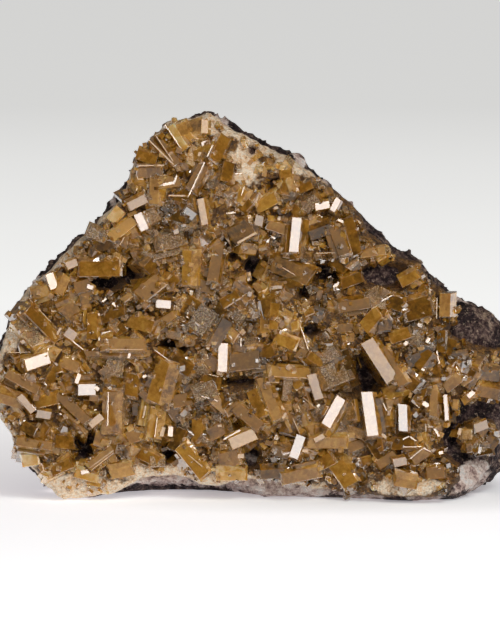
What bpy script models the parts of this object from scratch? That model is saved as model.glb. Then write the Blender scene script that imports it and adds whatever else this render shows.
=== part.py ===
"""A barite crystal cluster: honey-brown blocky crystals on a triangular plate of dark host rock.

Units are metres, +Z is up and the crystals face -Y. The plate stands on its flat foot and leans back a
little. The origin is the middle of the foot's level, under the middle of the object's box.
"""

import math
import random
from typing import NamedTuple

import bmesh
import bpy
import numpy as np
from mathutils import Matrix, Vector, noise

MM = 0.001

# Driving dimensions of the rock, in metres, and slopes in metres per metre
PLATE_WIDTH = 0.1563
ROCK_FRONT_AT_FOOT = -0.0168
ROCK_BACK_AT_FOOT = 0.0288
LEAN = 0.135
BACK_TAPER = 0.075
RIGHT_SLOPE_START = 0.048
RIGHT_SLOPE = 0.38
ROCK_FRONT_RADIUS = 0.006
ROCK_BACK_RADIUS = 0.013
DRAW_IN_SHARE = 0.07
DRAW_IN_FROM = 0.004
DRAW_IN_OVER = 0.026

# The barite layer: how far it stands on the rock and reaches into it, and how far it sinks where rock shows
LAYER_THICKNESS = 0.0050
LAYER_ROOT = 0.0036
LAYER_SUNK = 0.0019
BARE_PATCH_SINK = 0.0085
LAYER_FRONT_RADIUS = 0.005
LAYER_BACK_RADIUS = 0.003

# The crystals: how far their faces stand out of the layer and how deep their bodies are, by their length
PROUD_LEAST = 0.0006
PROUD_PER_LENGTH = 0.28
BRIGHT_EXTRA = 0.0010
DEPTH_LEAST = 0.0055
DEPTH_PER_LENGTH = 0.45
CUT_EDGE_LEAST_WIDTH = 0.0045
CUT_EDGE_SHARE = 0.2
CRYSTAL_SEED = 11

# Solids that touch in the specimen are kept this far apart, and off the floor
NODE_GAP = 0.0004
FLOOR_GAP = 0.0004

# Uneven surfaces: the size of the lumps, and their height
FRONT_SWELLS = (0.040, 0.0022)
FRONT_LUMPS = (0.015, 0.0012)
BACK_SWELLS = (0.050, 0.0035)
BACK_LEDGES = (0.024, 0.0050)
BACK_CHIPS = (0.010, 0.0010)
LAYER_LUMPS = (0.013, 0.0014)
ROCK_CRUMBLE = (0.011, 0.0013)
LAYER_CRUMBLE = (0.009, 0.0009)

# The front view that the outlines and the crystals' places are given in: columns to the right, rows down
VIEW_COLUMNS = 521.0
MIDDLE_COLUMN = 257.4
FOOT_ROW = 499.0
ROW_STRETCH = 1.01
VIEW_STEP = PLATE_WIDTH / VIEW_COLUMNS
VIEW_RISE = 0.105

# Mesh fineness
ROCK_VOXEL = 0.0030
LAYER_VOXEL = 0.0026
ROCK_TRIANGLES = 1650
LAYER_TRIANGLES = 640
GROUP_TRIANGLES = 90

# The rock's outline in the front view, clockwise from its lower left corner
ROCK_OUTLINE = (
    (64, 506), (47, 486), (31, 468), (15, 441), (10, 428), (1, 410), (0, 380), (2, 340), (12, 324),
    (25, 300), (31, 287), (52, 270), (69, 249), (84, 237), (97, 224), (107, 208), (122, 192),
    (130, 175), (138, 158), (151, 142), (163, 131), (169, 125), (181, 122), (194, 117), (206, 112),
    (219, 118), (235, 126), (249, 136), (269, 148), (289, 152), (304, 162), (319, 179), (338, 194),
    (351, 206), (363, 226), (382, 240), (395, 249), (413, 259), (428, 273), (442, 289), (459, 300),
    (481, 311), (499, 321), (509, 334), (518, 355), (520, 380), (518, 410), (512, 440), (502, 470),
    (488, 489), (470, 497), (452, 506),
)  # fmt: skip

# The barite layer's outline, the same way round
LAYER_OUTLINE = (
    (62, 496), (40, 478), (22, 454), (13, 434), (2, 418), (-1, 395), (0, 350), (6, 330), (20, 308),
    (30, 288), (52, 271), (66, 255), (83, 237), (100, 223), (114, 207), (126, 194), (131, 174),
    (138, 155), (152, 138), (168, 121), (182, 121), (196, 119), (209, 113), (225, 125), (241, 132),
    (256, 142), (272, 151), (291, 158), (307, 170), (325, 184), (344, 198), (358, 214), (368, 232),
    (384, 245), (396, 257), (418, 262), (428, 282), (446, 296), (457, 312), (452, 324), (445, 333),
    (470, 345), (486, 350), (508, 351), (514, 368), (512, 390), (497, 408), (478, 402), (464, 398),
    (456, 412), (443, 428), (443, 452), (462, 465), (458, 480), (443, 493), (415, 493), (380, 491),
    (350, 492), (325, 488), (300, 484), (270, 481), (240, 476), (220, 484), (200, 483), (175, 473),
    (150, 473), (128, 485), (108, 493), (82, 495),
)  # fmt: skip

# A small group of crystals stands by itself on the bare rock at the right
GROUP_OUTLINE = (
    (456, 428), (466, 421), (482, 418), (494, 424), (500, 436), (496, 450), (484, 457), (468, 456),
    (457, 444),
)  # fmt: skip


class Patch(NamedTuple):
    """An oval place in the front view: its middle and its half sizes."""

    column: float
    row: float
    across: float
    down: float


# Bare rock that shows between the crystals
BARE_PATCHES = (
    Patch(131, 269, 9, 19), Patch(105, 281, 22, 8), Patch(233, 246, 9, 13), Patch(254, 270, 13, 18),
    Patch(325, 272, 24, 9), Patch(303, 289, 6, 12), Patch(308, 326, 12, 9), Patch(365, 374, 17, 26),
    Patch(382, 275, 30, 16), Patch(450, 437, 9, 16), Patch(236, 421, 8, 11), Patch(238, 378, 19, 8),
    Patch(250, 456, 12, 13), Patch(85, 446, 14, 14), Patch(168, 450, 8, 11), Patch(173, 344, 12, 8),
    Patch(278, 181, 8, 6), Patch(252, 150, 6, 7), Patch(408, 402, 9, 8),
)  # fmt: skip

# Hollows in the rock itself, under some of the bare patches
HOLLOW_DEPTH = 0.0045
ROCK_HOLLOWS = (
    Patch(365, 374, 20, 30), Patch(131, 269, 10, 20), Patch(254, 272, 15, 20), Patch(250, 456, 14, 15),
    Patch(85, 446, 18, 18), Patch(173, 344, 16, 12), Patch(325, 274, 28, 12),
)  # fmt: skip

# The rock stands further forward at its lower right foot
ROCK_LOBES = (Patch(428, 498, 84, 38),)
LOBE_HEIGHT = 0.0075

# The low arch under the front of the foot
ARCH_MIDDLE = (180, 500)
ARCH_RADII = (0.027, 0.027, 0.0060)

# The ways that a crystal's front face looks, as directions out of it
FACINGS = {
    "bright": (0.15, -0.93, 0.335),
    "high": (0.06, -0.92, 0.40),
    "left": (-0.34, -0.93, 0.12),
    "right": (0.40, -0.90, 0.10),
    "low": (0.05, -0.97, -0.22),
    "level": (-0.05, -0.99, 0.10),
}


class Crystal(NamedTuple):
    """A crystal by its front face: its middle in the front view, and its sides in millimetres."""

    column: float
    row: float
    length: float
    width: float
    turn: float
    facing: str


CRYSTALS = (
    # Top of the plate, with its fan of blades
    Crystal(178, 139, 9.0, 2.0, -58, "bright"), Crystal(166, 151, 11.0, 2.6, -50, "high"),
    Crystal(157, 146, 7.0, 2.6, -40, "left"), Crystal(147, 158, 6.5, 3.0, -20, "low"),
    Crystal(185, 132, 7.5, 5.0, -60, "level"), Crystal(204, 126, 4.0, 2.4, 88, "right"),
    Crystal(203, 150, 7.0, 4.5, 20, "left"), Crystal(204, 170, 14.4, 4.2, 60, "high"),
    Crystal(222, 150, 8.5, 4.5, 62, "right"), Crystal(170, 182, 6.5, 3.0, 5, "bright"),
    Crystal(150, 172, 8.0, 4.0, 0, "low"), Crystal(157, 192, 9.0, 4.2, 88, "left"),
    Crystal(185, 196, 8.5, 5.0, 40, "level"), Crystal(226, 190, 6.5, 4.2, -15, "high"),
    Crystal(240, 196, 6.0, 4.5, 60, "left"), Crystal(228, 172, 6.0, 3.2, 80, "right"),
    Crystal(265, 200, 8.0, 5.0, 30, "left"), Crystal(286, 173, 4.5, 4.0, 10, "high"),
    Crystal(289, 192, 6.5, 4.0, -30, "level"), Crystal(303, 186, 5.5, 3.5, 25, "left"),
    # Upper left slope
    Crystal(142, 222, 5.5, 2.4, -65, "bright"), Crystal(123, 229, 9.0, 3.0, 38, "high"),
    Crystal(140, 203, 6.5, 2.8, 25, "high"), Crystal(116, 215, 5.0, 3.0, 50, "level"),
    Crystal(97, 232, 6.5, 4.4, -20, "left"), Crystal(104, 244, 7.0, 4.0, 15, "level"),
    Crystal(170, 236, 10.0, 6.5, 12, "high"), Crystal(175, 218, 5.5, 4.2, 35, "left"),
    Crystal(200, 241, 6.0, 4.5, -25, "low"), Crystal(203, 212, 8.0, 2.2, -80, "right"),
    Crystal(100, 266, 13.6, 6.0, 2, "level"), Crystal(73, 264, 4.0, 2.6, 20, "bright"),
    Crystal(53, 281, 5.0, 2.4, -70, "bright"), Crystal(40, 291, 6.5, 4.0, 20, "left"),
    Crystal(66, 286, 6.5, 4.0, 65, "right"), Crystal(84, 286, 5.5, 3.2, 15, "high"),
    Crystal(147, 284, 10.0, 7.5, 38, "high"), Crystal(120, 247, 6.5, 4.2, 70, "right"),
    Crystal(172, 281, 5.5, 3.6, 45, "level"), Crystal(190, 268, 11.4, 4.6, 88, "left"),
    Crystal(216, 262, 11.0, 3.2, 80, "high"), Crystal(240, 230, 10.0, 7.0, 28, "level"),
    Crystal(259, 221, 4.0, 3.4, 20, "high"), Crystal(155, 262, 7.0, 3.0, 48, "right"),
    # Middle of the plate
    Crystal(292, 268, 13.0, 6.4, -20, "level"), Crystal(285, 284, 9.5, 3.2, 12, "low"),
    Crystal(284, 254, 10.5, 4.2, 10, "left"), Crystal(278, 228, 7.0, 2.6, -18, "high"),
    Crystal(295, 235, 10.2, 2.8, 84, "bright"), Crystal(305, 232, 8.5, 4.0, 84, "right"),
    Crystal(320, 230, 8.0, 4.5, 20, "low"), Crystal(322, 206, 5.0, 2.4, 10, "bright"),
    Crystal(335, 205, 4.5, 2.2, 60, "bright"), Crystal(340, 238, 11.5, 4.6, -70, "high"),
    Crystal(354, 236, 12.0, 4.0, -74, "right"), Crystal(309, 202, 6.0, 5.0, 40, "left"),
    Crystal(265, 318, 8.5, 2.8, 88, "level"), Crystal(274, 316, 8.0, 2.6, 85, "right"),
    Crystal(205, 322, 9.0, 7.5, 55, "high"), Crystal(222, 334, 10.8, 4.4, 60, "right"),
    Crystal(163, 303, 6.0, 3.0, -5, "bright"), Crystal(167, 316, 5.5, 3.4, 30, "high"),
    Crystal(195, 301, 5.0, 3.8, -30, "left"), Crystal(207, 287, 6.0, 3.0, -20, "high"),
    Crystal(228, 296, 7.0, 4.6, 35, "left"), Crystal(245, 303, 6.5, 4.2, -50, "right"),
    Crystal(223, 357, 8.4, 2.8, 88, "bright"), Crystal(242, 357, 10.5, 7.0, 8, "high"),
    Crystal(290, 369, 13.0, 4.4, -5, "high"), Crystal(264, 352, 7.5, 4.0, 25, "left"),
    Crystal(304, 354, 4.5, 3.8, 50, "high"), Crystal(286, 340, 7.5, 4.2, -20, "level"),
    Crystal(327, 352, 6.5, 5.0, 30, "left"), Crystal(332, 369, 10.5, 8.5, 20, "high"),
    Crystal(349, 368, 12.0, 2.6, -72, "right"), Crystal(315, 386, 8.0, 2.6, -72, "bright"),
    Crystal(272, 397, 13.5, 4.6, -68, "high"), Crystal(258, 402, 9.0, 4.4, -68, "left"),
    Crystal(250, 414, 10.5, 4.6, -38, "high"), Crystal(290, 388, 7.5, 4.2, 85, "right"),
    Crystal(290, 424, 7.0, 5.0, 75, "left"), Crystal(297, 446, 7.0, 2.8, 70, "bright"),
    Crystal(278, 451, 7.5, 4.4, -15, "high"), Crystal(243, 438, 8.4, 3.4, 22, "bright"),
    # Left side
    Crystal(46, 322, 13.5, 4.4, -47, "right"), Crystal(32, 330, 11.0, 5.5, -47, "high"),
    Crystal(70, 326, 6.0, 3.6, 85, "left"), Crystal(93, 326, 8.0, 3.0, 88, "level"),
    Crystal(39, 361, 7.5, 3.4, 17, "bright"), Crystal(24, 362, 6.5, 4.5, -50, "left"),
    Crystal(25, 380, 11.4, 3.4, -28, "high"), Crystal(13, 398, 9.0, 4.5, -20, "low"),
    Crystal(28, 403, 6.5, 2.6, -50, "right"), Crystal(46, 398, 8.0, 4.4, 15, "left"),
    Crystal(72, 361, 7.0, 4.6, -20, "high"), Crystal(56, 377, 6.5, 4.2, 60, "right"),
    Crystal(124, 342, 14.0, 4.6, -1, "high"), Crystal(116, 364, 7.5, 5.0, 80, "level"),
    Crystal(142, 322, 9.0, 4.8, -12, "left"), Crystal(112, 312, 8.0, 4.5, 25, "left"),
    Crystal(88, 389, 5.5, 3.2, 0, "bright"), Crystal(75, 406, 12.6, 3.4, -42, "high"),
    Crystal(112, 411, 14.0, 5.4, 88, "left"), Crystal(135, 385, 8.0, 5.0, 84, "right"),
    Crystal(45, 414, 5.5, 2.8, -10, "bright"), Crystal(36, 440, 12.0, 3.6, -8, "high"),
    Crystal(66, 438, 6.5, 5.5, -8, "right"), Crystal(31, 457, 5.5, 4.6, 10, "level"),
    Crystal(102, 454, 10.5, 3.4, 37, "high"), Crystal(62, 464, 7.0, 4.0, 25, "left"),
    Crystal(88, 473, 7.5, 3.6, -15, "level"), Crystal(122, 470, 7.5, 4.0, 10, "low"),
    # Lower middle
    Crystal(162, 382, 14.4, 6.0, 75, "left"), Crystal(184, 362, 8.0, 6.0, -30, "level"),
    Crystal(182, 397, 6.5, 4.6, 10, "high"), Crystal(203, 386, 8.0, 7.0, 20, "high"),
    Crystal(160, 424, 10.5, 6.0, 80, "right"), Crystal(136, 433, 6.0, 4.4, 20, "high"),
    Crystal(197, 432, 8.4, 3.0, 88, "left"), Crystal(180, 440, 7.5, 4.6, 60, "level"),
    Crystal(196, 461, 12.6, 5.0, -51, "high"), Crystal(213, 430, 8.0, 5.0, 30, "left"),
    Crystal(228, 455, 7.5, 6.5, 15, "left"), Crystal(232, 473, 9.5, 4.0, 0, "low"),
    Crystal(150, 455, 7.0, 4.2, -25, "low"), Crystal(222, 402, 7.0, 4.4, -45, "right"),
    Crystal(327, 440, 12.5, 4.4, 0, "level"), Crystal(300, 472, 12.5, 4.8, 12, "level"),
    Crystal(272, 470, 8.0, 4.4, 5, "low"), Crystal(345, 474, 12.5, 7.5, -55, "high"),
    Crystal(322, 460, 7.5, 4.8, 30, "left"), Crystal(317, 428, 5.5, 3.2, 15, "high"),
    # Right side
    Crystal(379, 360, 14.4, 3.8, -57, "bright"), Crystal(391, 366, 12.5, 3.0, -57, "right"),
    Crystal(370, 413, 13.2, 3.6, -77, "bright"), Crystal(380, 415, 11.5, 4.5, -77, "right"),
    Crystal(333, 411, 9.6, 3.0, 60, "bright"), Crystal(340, 418, 8.5, 4.4, 60, "right"),
    Crystal(402, 417, 8.1, 2.8, -88, "bright"), Crystal(354, 442, 5.5, 4.0, 20, "high"),
    Crystal(355, 302, 11.0, 4.6, 8, "high"), Crystal(350, 277, 7.5, 5.0, 20, "level"),
    Crystal(372, 250, 8.0, 3.4, 8, "high"), Crystal(372, 322, 8.0, 5.5, 50, "left"),
    Crystal(392, 300, 7.5, 5.0, -20, "level"), Crystal(418, 305, 9.5, 8.5, 15, "level"),
    Crystal(407, 276, 6.5, 4.4, 30, "left"), Crystal(440, 308, 8.0, 4.0, 85, "right"),
    Crystal(440, 341, 7.0, 3.0, 88, "bright"), Crystal(453, 346, 5.5, 4.6, 80, "right"),
    Crystal(414, 337, 5.5, 4.2, 70, "high"), Crystal(398, 332, 7.0, 5.0, 20, "left"),
    Crystal(424, 360, 7.0, 4.6, 55, "left"), Crystal(408, 378, 8.0, 5.0, -35, "left"),
    Crystal(435, 402, 8.4, 3.6, 88, "high"), Crystal(445, 407, 7.8, 1.8, -85, "bright"),
    Crystal(422, 395, 6.5, 4.4, 60, "right"), Crystal(450, 380, 6.5, 4.6, 40, "left"),
    Crystal(485, 372, 9.5, 4.4, -8, "high"), Crystal(487, 390, 8.0, 4.8, -12, "low"),
    Crystal(468, 378, 6.0, 4.0, 60, "left"), Crystal(472, 393, 4.5, 3.0, 40, "bright"),
    Crystal(402, 440, 8.0, 5.0, 5, "left"), Crystal(378, 448, 7.5, 4.6, -60, "level"),
    Crystal(399, 461, 5.5, 3.4, 10, "bright"), Crystal(418, 453, 6.5, 4.4, 35, "level"),
    Crystal(432, 472, 6.6, 5.0, 5, "high"), Crystal(380, 468, 7.5, 3.4, 35, "high"),
    Crystal(405, 480, 7.0, 4.0, -10, "low"),
)  # fmt: skip

GROUP_CRYSTALS = (
    Crystal(480, 427, 5.2, 3.4, 15, "bright"), Crystal(466, 430, 4.6, 3.2, 20, "left"),
    Crystal(487, 438, 5.5, 4.0, 80, "right"), Crystal(471, 444, 6.0, 4.2, -10, "level"),
    Crystal(483, 449, 5.0, 3.4, 10, "low"),
)  # fmt: skip


def front_view(column, row):
    """The x and z of a place in the front view, on the plate's leaning front."""
    return (column - MIDDLE_COLUMN) * VIEW_STEP, (FOOT_ROW - row) * VIEW_STEP / ROW_STRETCH


def ease(amount):
    """0 to 1 smoothly, and flat beyond both."""
    amount = min(max(amount, 0.0), 1.0)
    return amount * amount * (3.0 - 2.0 * amount)


def relief(x, z, lumps, seed):
    """The height of smooth lumps of this size and height."""
    size, height = lumps
    return height * noise.noise(Vector((x / size, seed, z / size)))


def drift(place):
    """A smooth noise vector. Each of its parts is read at a place of its own."""
    return Vector([noise.noise(place + Vector((offset, 0.0, -offset))) for offset in (3.1, 17.7, 41.3)])


def patch_depth(x, z, patches):
    """1 in the middle of a patch, 0 outside all of them."""
    deepest = 0.0
    for patch in patches:
        centre_x, centre_z = front_view(patch.column, patch.row)
        across = (x - centre_x) / (patch.across * VIEW_STEP)
        up = (z - centre_z) / (patch.down * VIEW_STEP)
        deepest = max(deepest, ease(1.25 - math.hypot(across, up)))
    return deepest


def leaning_plane(z):
    """The y of the plane that the rock's front follows."""
    return ROCK_FRONT_AT_FOOT + LEAN * z


def rock_front(x, z):
    """The y of the rock's front, before its edges are rounded."""
    y = leaning_plane(z) + RIGHT_SLOPE * max(x - RIGHT_SLOPE_START, 0.0)
    y += relief(x, z, FRONT_SWELLS, 1.0) + relief(x, z, FRONT_LUMPS, 2.0)
    y -= LOBE_HEIGHT * patch_depth(x, z, ROCK_LOBES)
    return y + HOLLOW_DEPTH * patch_depth(x, z, ROCK_HOLLOWS)


def ledges(x, z, facets):
    """Tilted flat facets of this size and height with steps between them, as broken rock has."""
    size, height = facets
    place = Vector((x / size, 7.0, z / size))
    nearest = noise.voronoi(place)[1][0]
    tilt = drift(nearest * 3.7)
    step = noise.noise(nearest * 5.1)
    return height * (1.4 * step + 0.9 * (place - nearest).dot(tilt))


def rock_back(x, z):
    """The y of the rock's broken back."""
    y = ROCK_BACK_AT_FOOT - BACK_TAPER * z + relief(x, z, BACK_SWELLS, 5.0)
    return y + ledges(x, z, BACK_LEDGES) + ledges(x, z, BACK_CHIPS)


def layer_front(x, z):
    """The y of the barite layer's front: it sinks behind the rock's front where rock shows."""
    thickness = LAYER_THICKNESS + relief(x, z, LAYER_LUMPS, 9.0)
    thickness -= BARE_PATCH_SINK * patch_depth(x, z, BARE_PATCHES)
    return rock_front(x, z) - max(thickness, -LAYER_SUNK)


def layer_back(x, z):
    """The y of the barite layer's back, inside of the rock."""
    return rock_front(x, z) + LAYER_ROOT


def edge_distances(points, outline):
    """How far each (x, z) point is inside of the closed outline's nearest side."""
    starts = np.array([front_view(*corner) for corner in outline])
    sides = np.roll(starts, -1, axis=0) - starts
    away = points[:, None, :] - starts[None, :, :]
    along = (away * sides).sum(axis=2) / (sides * sides).sum(axis=1)
    nearest = np.clip(along, 0.0, 1.0)[..., None] * sides
    return np.sqrt(((away - nearest) ** 2).sum(axis=2)).min(axis=1)


def round_over(distance, radius):
    """How much of a full step is reached at this distance from a rounded edge: 0 at it, 1 past the radius."""
    short = 1.0 - min(distance / radius, 1.0)
    return math.sqrt(max(1.0 - short * short, 0.0))


def new_material(name, colour, roughness):
    material = bpy.data.materials.new(name)
    material.use_nodes = True
    shader = material.node_tree.nodes["Principled BSDF"]
    shader.inputs["Base Color"].default_value = (*colour, 1.0)
    shader.inputs["Roughness"].default_value = roughness
    shader.inputs["Metallic"].default_value = 0.0
    return material


def add_object(name, mesh, collection):
    made = bpy.data.objects.new(name, mesh)
    collection.objects.link(made)
    return made


def make_cutter(obj):
    obj.hide_render = True
    obj.display_type = "WIRE"


def outline_slab(name, outline, half_thickness, collection):
    """A flat closed outline, drawn in the front view, as a slab of this half thickness."""
    curve = bpy.data.curves.new(name, "CURVE")
    curve.dimensions = "2D"
    curve.fill_mode = "BOTH"
    curve.extrude = half_thickness
    spline = curve.splines.new("POLY")
    spline.points.add(len(outline) - 1)
    for point, corner in zip(spline.points, outline):
        x, z = front_view(*corner)
        point.co = (x, z, 0.0, 1.0)
    spline.use_cyclic_u = True
    drawn = add_object(name + "_outline", curve, collection)
    drawn.rotation_euler = (math.radians(90.0), 0.0, 0.0)
    bpy.context.view_layer.update()
    graph = bpy.context.evaluated_depsgraph_get()
    mesh = bpy.data.meshes.new_from_object(drawn.evaluated_get(graph))
    mesh.transform(drawn.matrix_world)
    weld(mesh)
    bpy.data.objects.remove(drawn)
    return add_object(name, mesh, collection)


def weld(mesh):
    shape = bmesh.new()
    shape.from_mesh(mesh)
    bmesh.ops.remove_doubles(shape, verts=shape.verts, dist=1e-6)
    bmesh.ops.recalc_face_normals(shape, faces=shape.faces)
    shape.to_mesh(mesh)
    shape.free()


def apply_modifiers(obj):
    """Bakes the object's modifiers into its mesh."""
    bpy.context.view_layer.update()
    graph = bpy.context.evaluated_depsgraph_get()
    mesh = bpy.data.meshes.new_from_object(obj.evaluated_get(graph))
    obj.modifiers.clear()
    old = obj.data
    obj.data = mesh
    bpy.data.meshes.remove(old)


def remesh(obj, voxel):
    modifier = obj.modifiers.new("Even faces", "REMESH")
    modifier.mode = "VOXEL"
    modifier.voxel_size = voxel
    apply_modifiers(obj)


def thin_out(obj, triangles):
    """Decimates the mesh to about this many triangles."""
    obj.data.calc_loop_triangles()
    modifier = obj.modifiers.new("Fewer faces", "DECIMATE")
    modifier.ratio = triangles / len(obj.data.loop_triangles)
    modifier.use_collapse_triangulate = True
    apply_modifiers(obj)


def mould(obj, half_thickness, outline, front, back, front_radius, back_radius):
    """Bends a slab's two faces to the front and back surfaces, with rounded edges."""
    points = np.array([vertex.co[:] for vertex in obj.data.vertices])
    distances = edge_distances(points[:, [0, 2]], outline)
    for vertex, distance in zip(obj.data.vertices, distances):
        x, y, z = vertex.co
        share = min(max(0.5 + 0.5 * y / half_thickness, 0.0), 1.0)
        near = front(x, z)
        far = back(x, z)
        middle = 0.5 * (near + far)
        near = middle + (near - middle) * round_over(distance + 0.0004, front_radius)
        far = middle + (far - middle) * round_over(distance + 0.0004, back_radius)
        vertex.co.y = near + (far - near) * share


def roughen(obj, lumps):
    """Moves each point by smooth noise, so that broken edges aren't straight."""
    size, height = lumps
    for vertex in obj.data.vertices:
        vertex.co += height * drift(vertex.co / size)


def draw_in_behind(obj):
    """Narrows the rock towards its back, as a broken plate is."""
    for vertex in obj.data.vertices:
        behind = ease((vertex.co.y - DRAW_IN_FROM) / DRAW_IN_OVER)
        vertex.co.x *= 1.0 - DRAW_IN_SHARE * behind
        vertex.co.z *= 1.0 - DRAW_IN_SHARE * behind


def build_rock(collection):
    half = 0.020
    rock = outline_slab("matrix", ROCK_OUTLINE, half, collection)
    remesh(rock, ROCK_VOXEL)
    mould(rock, half, ROCK_OUTLINE, rock_front, rock_back, ROCK_FRONT_RADIUS, ROCK_BACK_RADIUS)
    draw_in_behind(rock)
    roughen(rock, ROCK_CRUMBLE)
    thin_out(rock, ROCK_TRIANGLES)
    rock.data.materials.append(new_material("Host rock", (0.045, 0.032, 0.042), 0.8))
    return rock


def build_layer(name, outline, triangles, collection):
    """The barite that the crystals grow from, as a lumpy sheet on the rock's front."""
    half = 0.005
    layer = outline_slab(name, outline, half, collection)
    remesh(layer, LAYER_VOXEL)
    mould(layer, half, outline, layer_front, layer_back, LAYER_FRONT_RADIUS, LAYER_BACK_RADIUS)
    roughen(layer, LAYER_CRUMBLE)
    thin_out(layer, triangles)
    layer.data.materials.append(new_material("Honey barite " + name, (0.30, 0.15, 0.04), 0.25))
    return layer


def facing_direction(crystal, dice):
    """The way that the crystal's front face looks, a few degrees off its group's."""
    spread = 0.02 if crystal.facing == "bright" else 0.10
    look = Vector(FACINGS[crystal.facing])
    look += Vector((dice.uniform(-spread, spread), 0.0, dice.uniform(-spread, spread)))
    return look.normalized()


def crystal_axes(look, turn):
    """The crystal's length, width and depth directions, scaled to keep the face's size in the front view."""
    angle = math.radians(turn)
    flat_x = math.cos(angle)
    flat_z = math.sin(angle)
    along = Vector((flat_x, -(look.x * flat_x + look.z * flat_z) / look.y, flat_z))
    across = look.cross(along).normalized()
    across /= math.hypot(across.x, across.z)
    return along, across, look


def add_crystal(shape, crystal, proud, depth, dice):
    """A block with its two long front edges cut off, whose front face stands proud of the layer."""
    look = facing_direction(crystal, dice)
    along, across, out = crystal_axes(look, crystal.turn)
    length = crystal.length * MM
    width = crystal.width * MM
    x, z = front_view(crystal.column, crystal.row)
    y = rock_front(x, z) - LAYER_THICKNESS - proud
    face = Vector((x, y, z + VIEW_RISE * (leaning_plane(z) - y)))
    sides = Matrix((along * length, across * width, out * depth)).transposed()
    place = Matrix.Translation(face - out * depth / 2.0) @ sides.to_4x4()
    made = bmesh.ops.create_cube(shape, size=1.0, matrix=place)
    if width < CUT_EDGE_LEAST_WIDTH:
        return
    edges = dict.fromkeys(edge for vert in made["verts"] for edge in vert.link_edges)
    front_edges = [edge for edge in edges if is_long_front(edge, place)]
    bmesh.ops.bevel(shape, geom=front_edges, offset=CUT_EDGE_SHARE * width, segments=1, affect="EDGES")


def is_long_front(edge, place):
    """Whether the edge lies on the crystal's front face and along its length."""
    start, end = [place.inverted() @ vert.co for vert in edge.verts]
    return min(start.z, end.z) > 0.4 and abs(start.x - end.x) > 0.9


def crystal_blocks(name, crystals, dice, collection):
    """All the blocks as one mesh of separate closed bodies, for a Boolean to join."""
    shape = bmesh.new()
    for crystal in crystals:
        proud = PROUD_LEAST + PROUD_PER_LENGTH * crystal.length * MM
        if crystal.facing == "bright":
            proud += BRIGHT_EXTRA
        depth = DEPTH_LEAST + DEPTH_PER_LENGTH * crystal.length * MM
        add_crystal(shape, crystal, proud, depth, dice)
    bmesh.ops.triangulate(shape, faces=shape.faces)
    return cutter_object(name, shape, collection)


def grown_copy(name, obj, amount, collection):
    """The object's mesh moved out by this amount, to cut a gap round it."""
    grown = add_object(name, obj.data.copy(), collection)
    normals = [vertex.normal.copy() for vertex in obj.data.vertices]
    for vertex, normal in zip(grown.data.vertices, normals):
        vertex.co += amount * normal
    make_cutter(grown)
    return grown


def floor_cutter(name, top, collection):
    """A slab, larger than the object, that cuts off what is below its top."""
    size = Vector((1.5 * PLATE_WIDTH, PLATE_WIDTH, 0.04))
    centre = Vector((0.0, 0.0, top - size.z / 2.0))
    shape = bmesh.new()
    bmesh.ops.create_cube(shape, size=1.0, matrix=Matrix.LocRotScale(centre, None, size))
    return cutter_object(name, shape, collection)


def cutter_object(name, shape, collection):
    mesh = bpy.data.meshes.new(name)
    shape.to_mesh(mesh)
    shape.free()
    cutter = add_object(name, mesh, collection)
    make_cutter(cutter)
    return cutter


def arch_cutter(collection):
    """A low dome that hollows the front of the rock's foot."""
    x, z = front_view(*ARCH_MIDDLE)
    shape = bmesh.new()
    place = Matrix.LocRotScale(Vector((x, ROCK_FRONT_AT_FOOT - 0.002, z)), None, Vector(ARCH_RADII))
    bmesh.ops.create_uvsphere(shape, u_segments=18, v_segments=10, radius=1.0, matrix=place)
    return cutter_object("arch_cutter", shape, collection)


def boolean(obj, other, operation):
    """A join or a cut. The blocks overlap each other, so a join also looks for crossings inside one mesh."""
    modifier = obj.modifiers.new(operation.title() + " " + other.name, "BOOLEAN")
    modifier.operation = operation
    modifier.object = other
    modifier.use_self = operation == "UNION"
    apply_modifiers(obj)
    settle(obj)


def settle(obj):
    """Sorts the points and faces, whose order a Boolean changes from run to run, and triangulates."""
    points = [vertex.co[:] for vertex in obj.data.vertices]
    order = sorted(range(len(points)), key=points.__getitem__)
    place = {old: new for new, old in enumerate(order)}
    faces = []
    for polygon in obj.data.polygons:
        corners = [place[index] for index in polygon.vertices]
        first = corners.index(min(corners))
        faces.append(corners[first:] + corners[:first])
    mesh = bpy.data.meshes.new(obj.name)
    mesh.from_pydata([points[index] for index in order], [], sorted(faces))
    for material in obj.data.materials:
        mesh.materials.append(material)
    shape = bmesh.new()
    shape.from_mesh(mesh)
    bmesh.ops.triangulate(shape, faces=shape.faces)
    shape.to_mesh(mesh)
    shape.free()
    old = obj.data
    obj.data = mesh
    bpy.data.meshes.remove(old)


def keep_largest_body(obj):
    """Drops the crumbs that a cut leaves beside the main body, and any sealed hollow's inner faces."""
    shape = bmesh.new()
    shape.from_mesh(obj.data)
    body_of = {}
    bodies = []
    for first in shape.faces:
        if first in body_of:
            continue
        body = [first]
        body_of[first] = body
        for face in body:
            for edge in face.edges:
                for other in edge.link_faces:
                    if len(edge.link_faces) == 2 and other not in body_of:
                        body_of[other] = body
                        body.append(other)
        bodies.append(body)
    bodies.sort(key=len)
    crumbs = [face for body in bodies[:-1] for face in body]
    bmesh.ops.delete(shape, geom=crumbs, context="FACES")
    shape.to_mesh(obj.data)
    shape.free()


def join_crystals(layer, blocks, gap_cutter, floor_cutter):
    boolean(layer, blocks, "UNION")
    boolean(layer, gap_cutter, "DIFFERENCE")
    boolean(layer, floor_cutter, "DIFFERENCE")
    keep_largest_body(layer)


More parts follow.
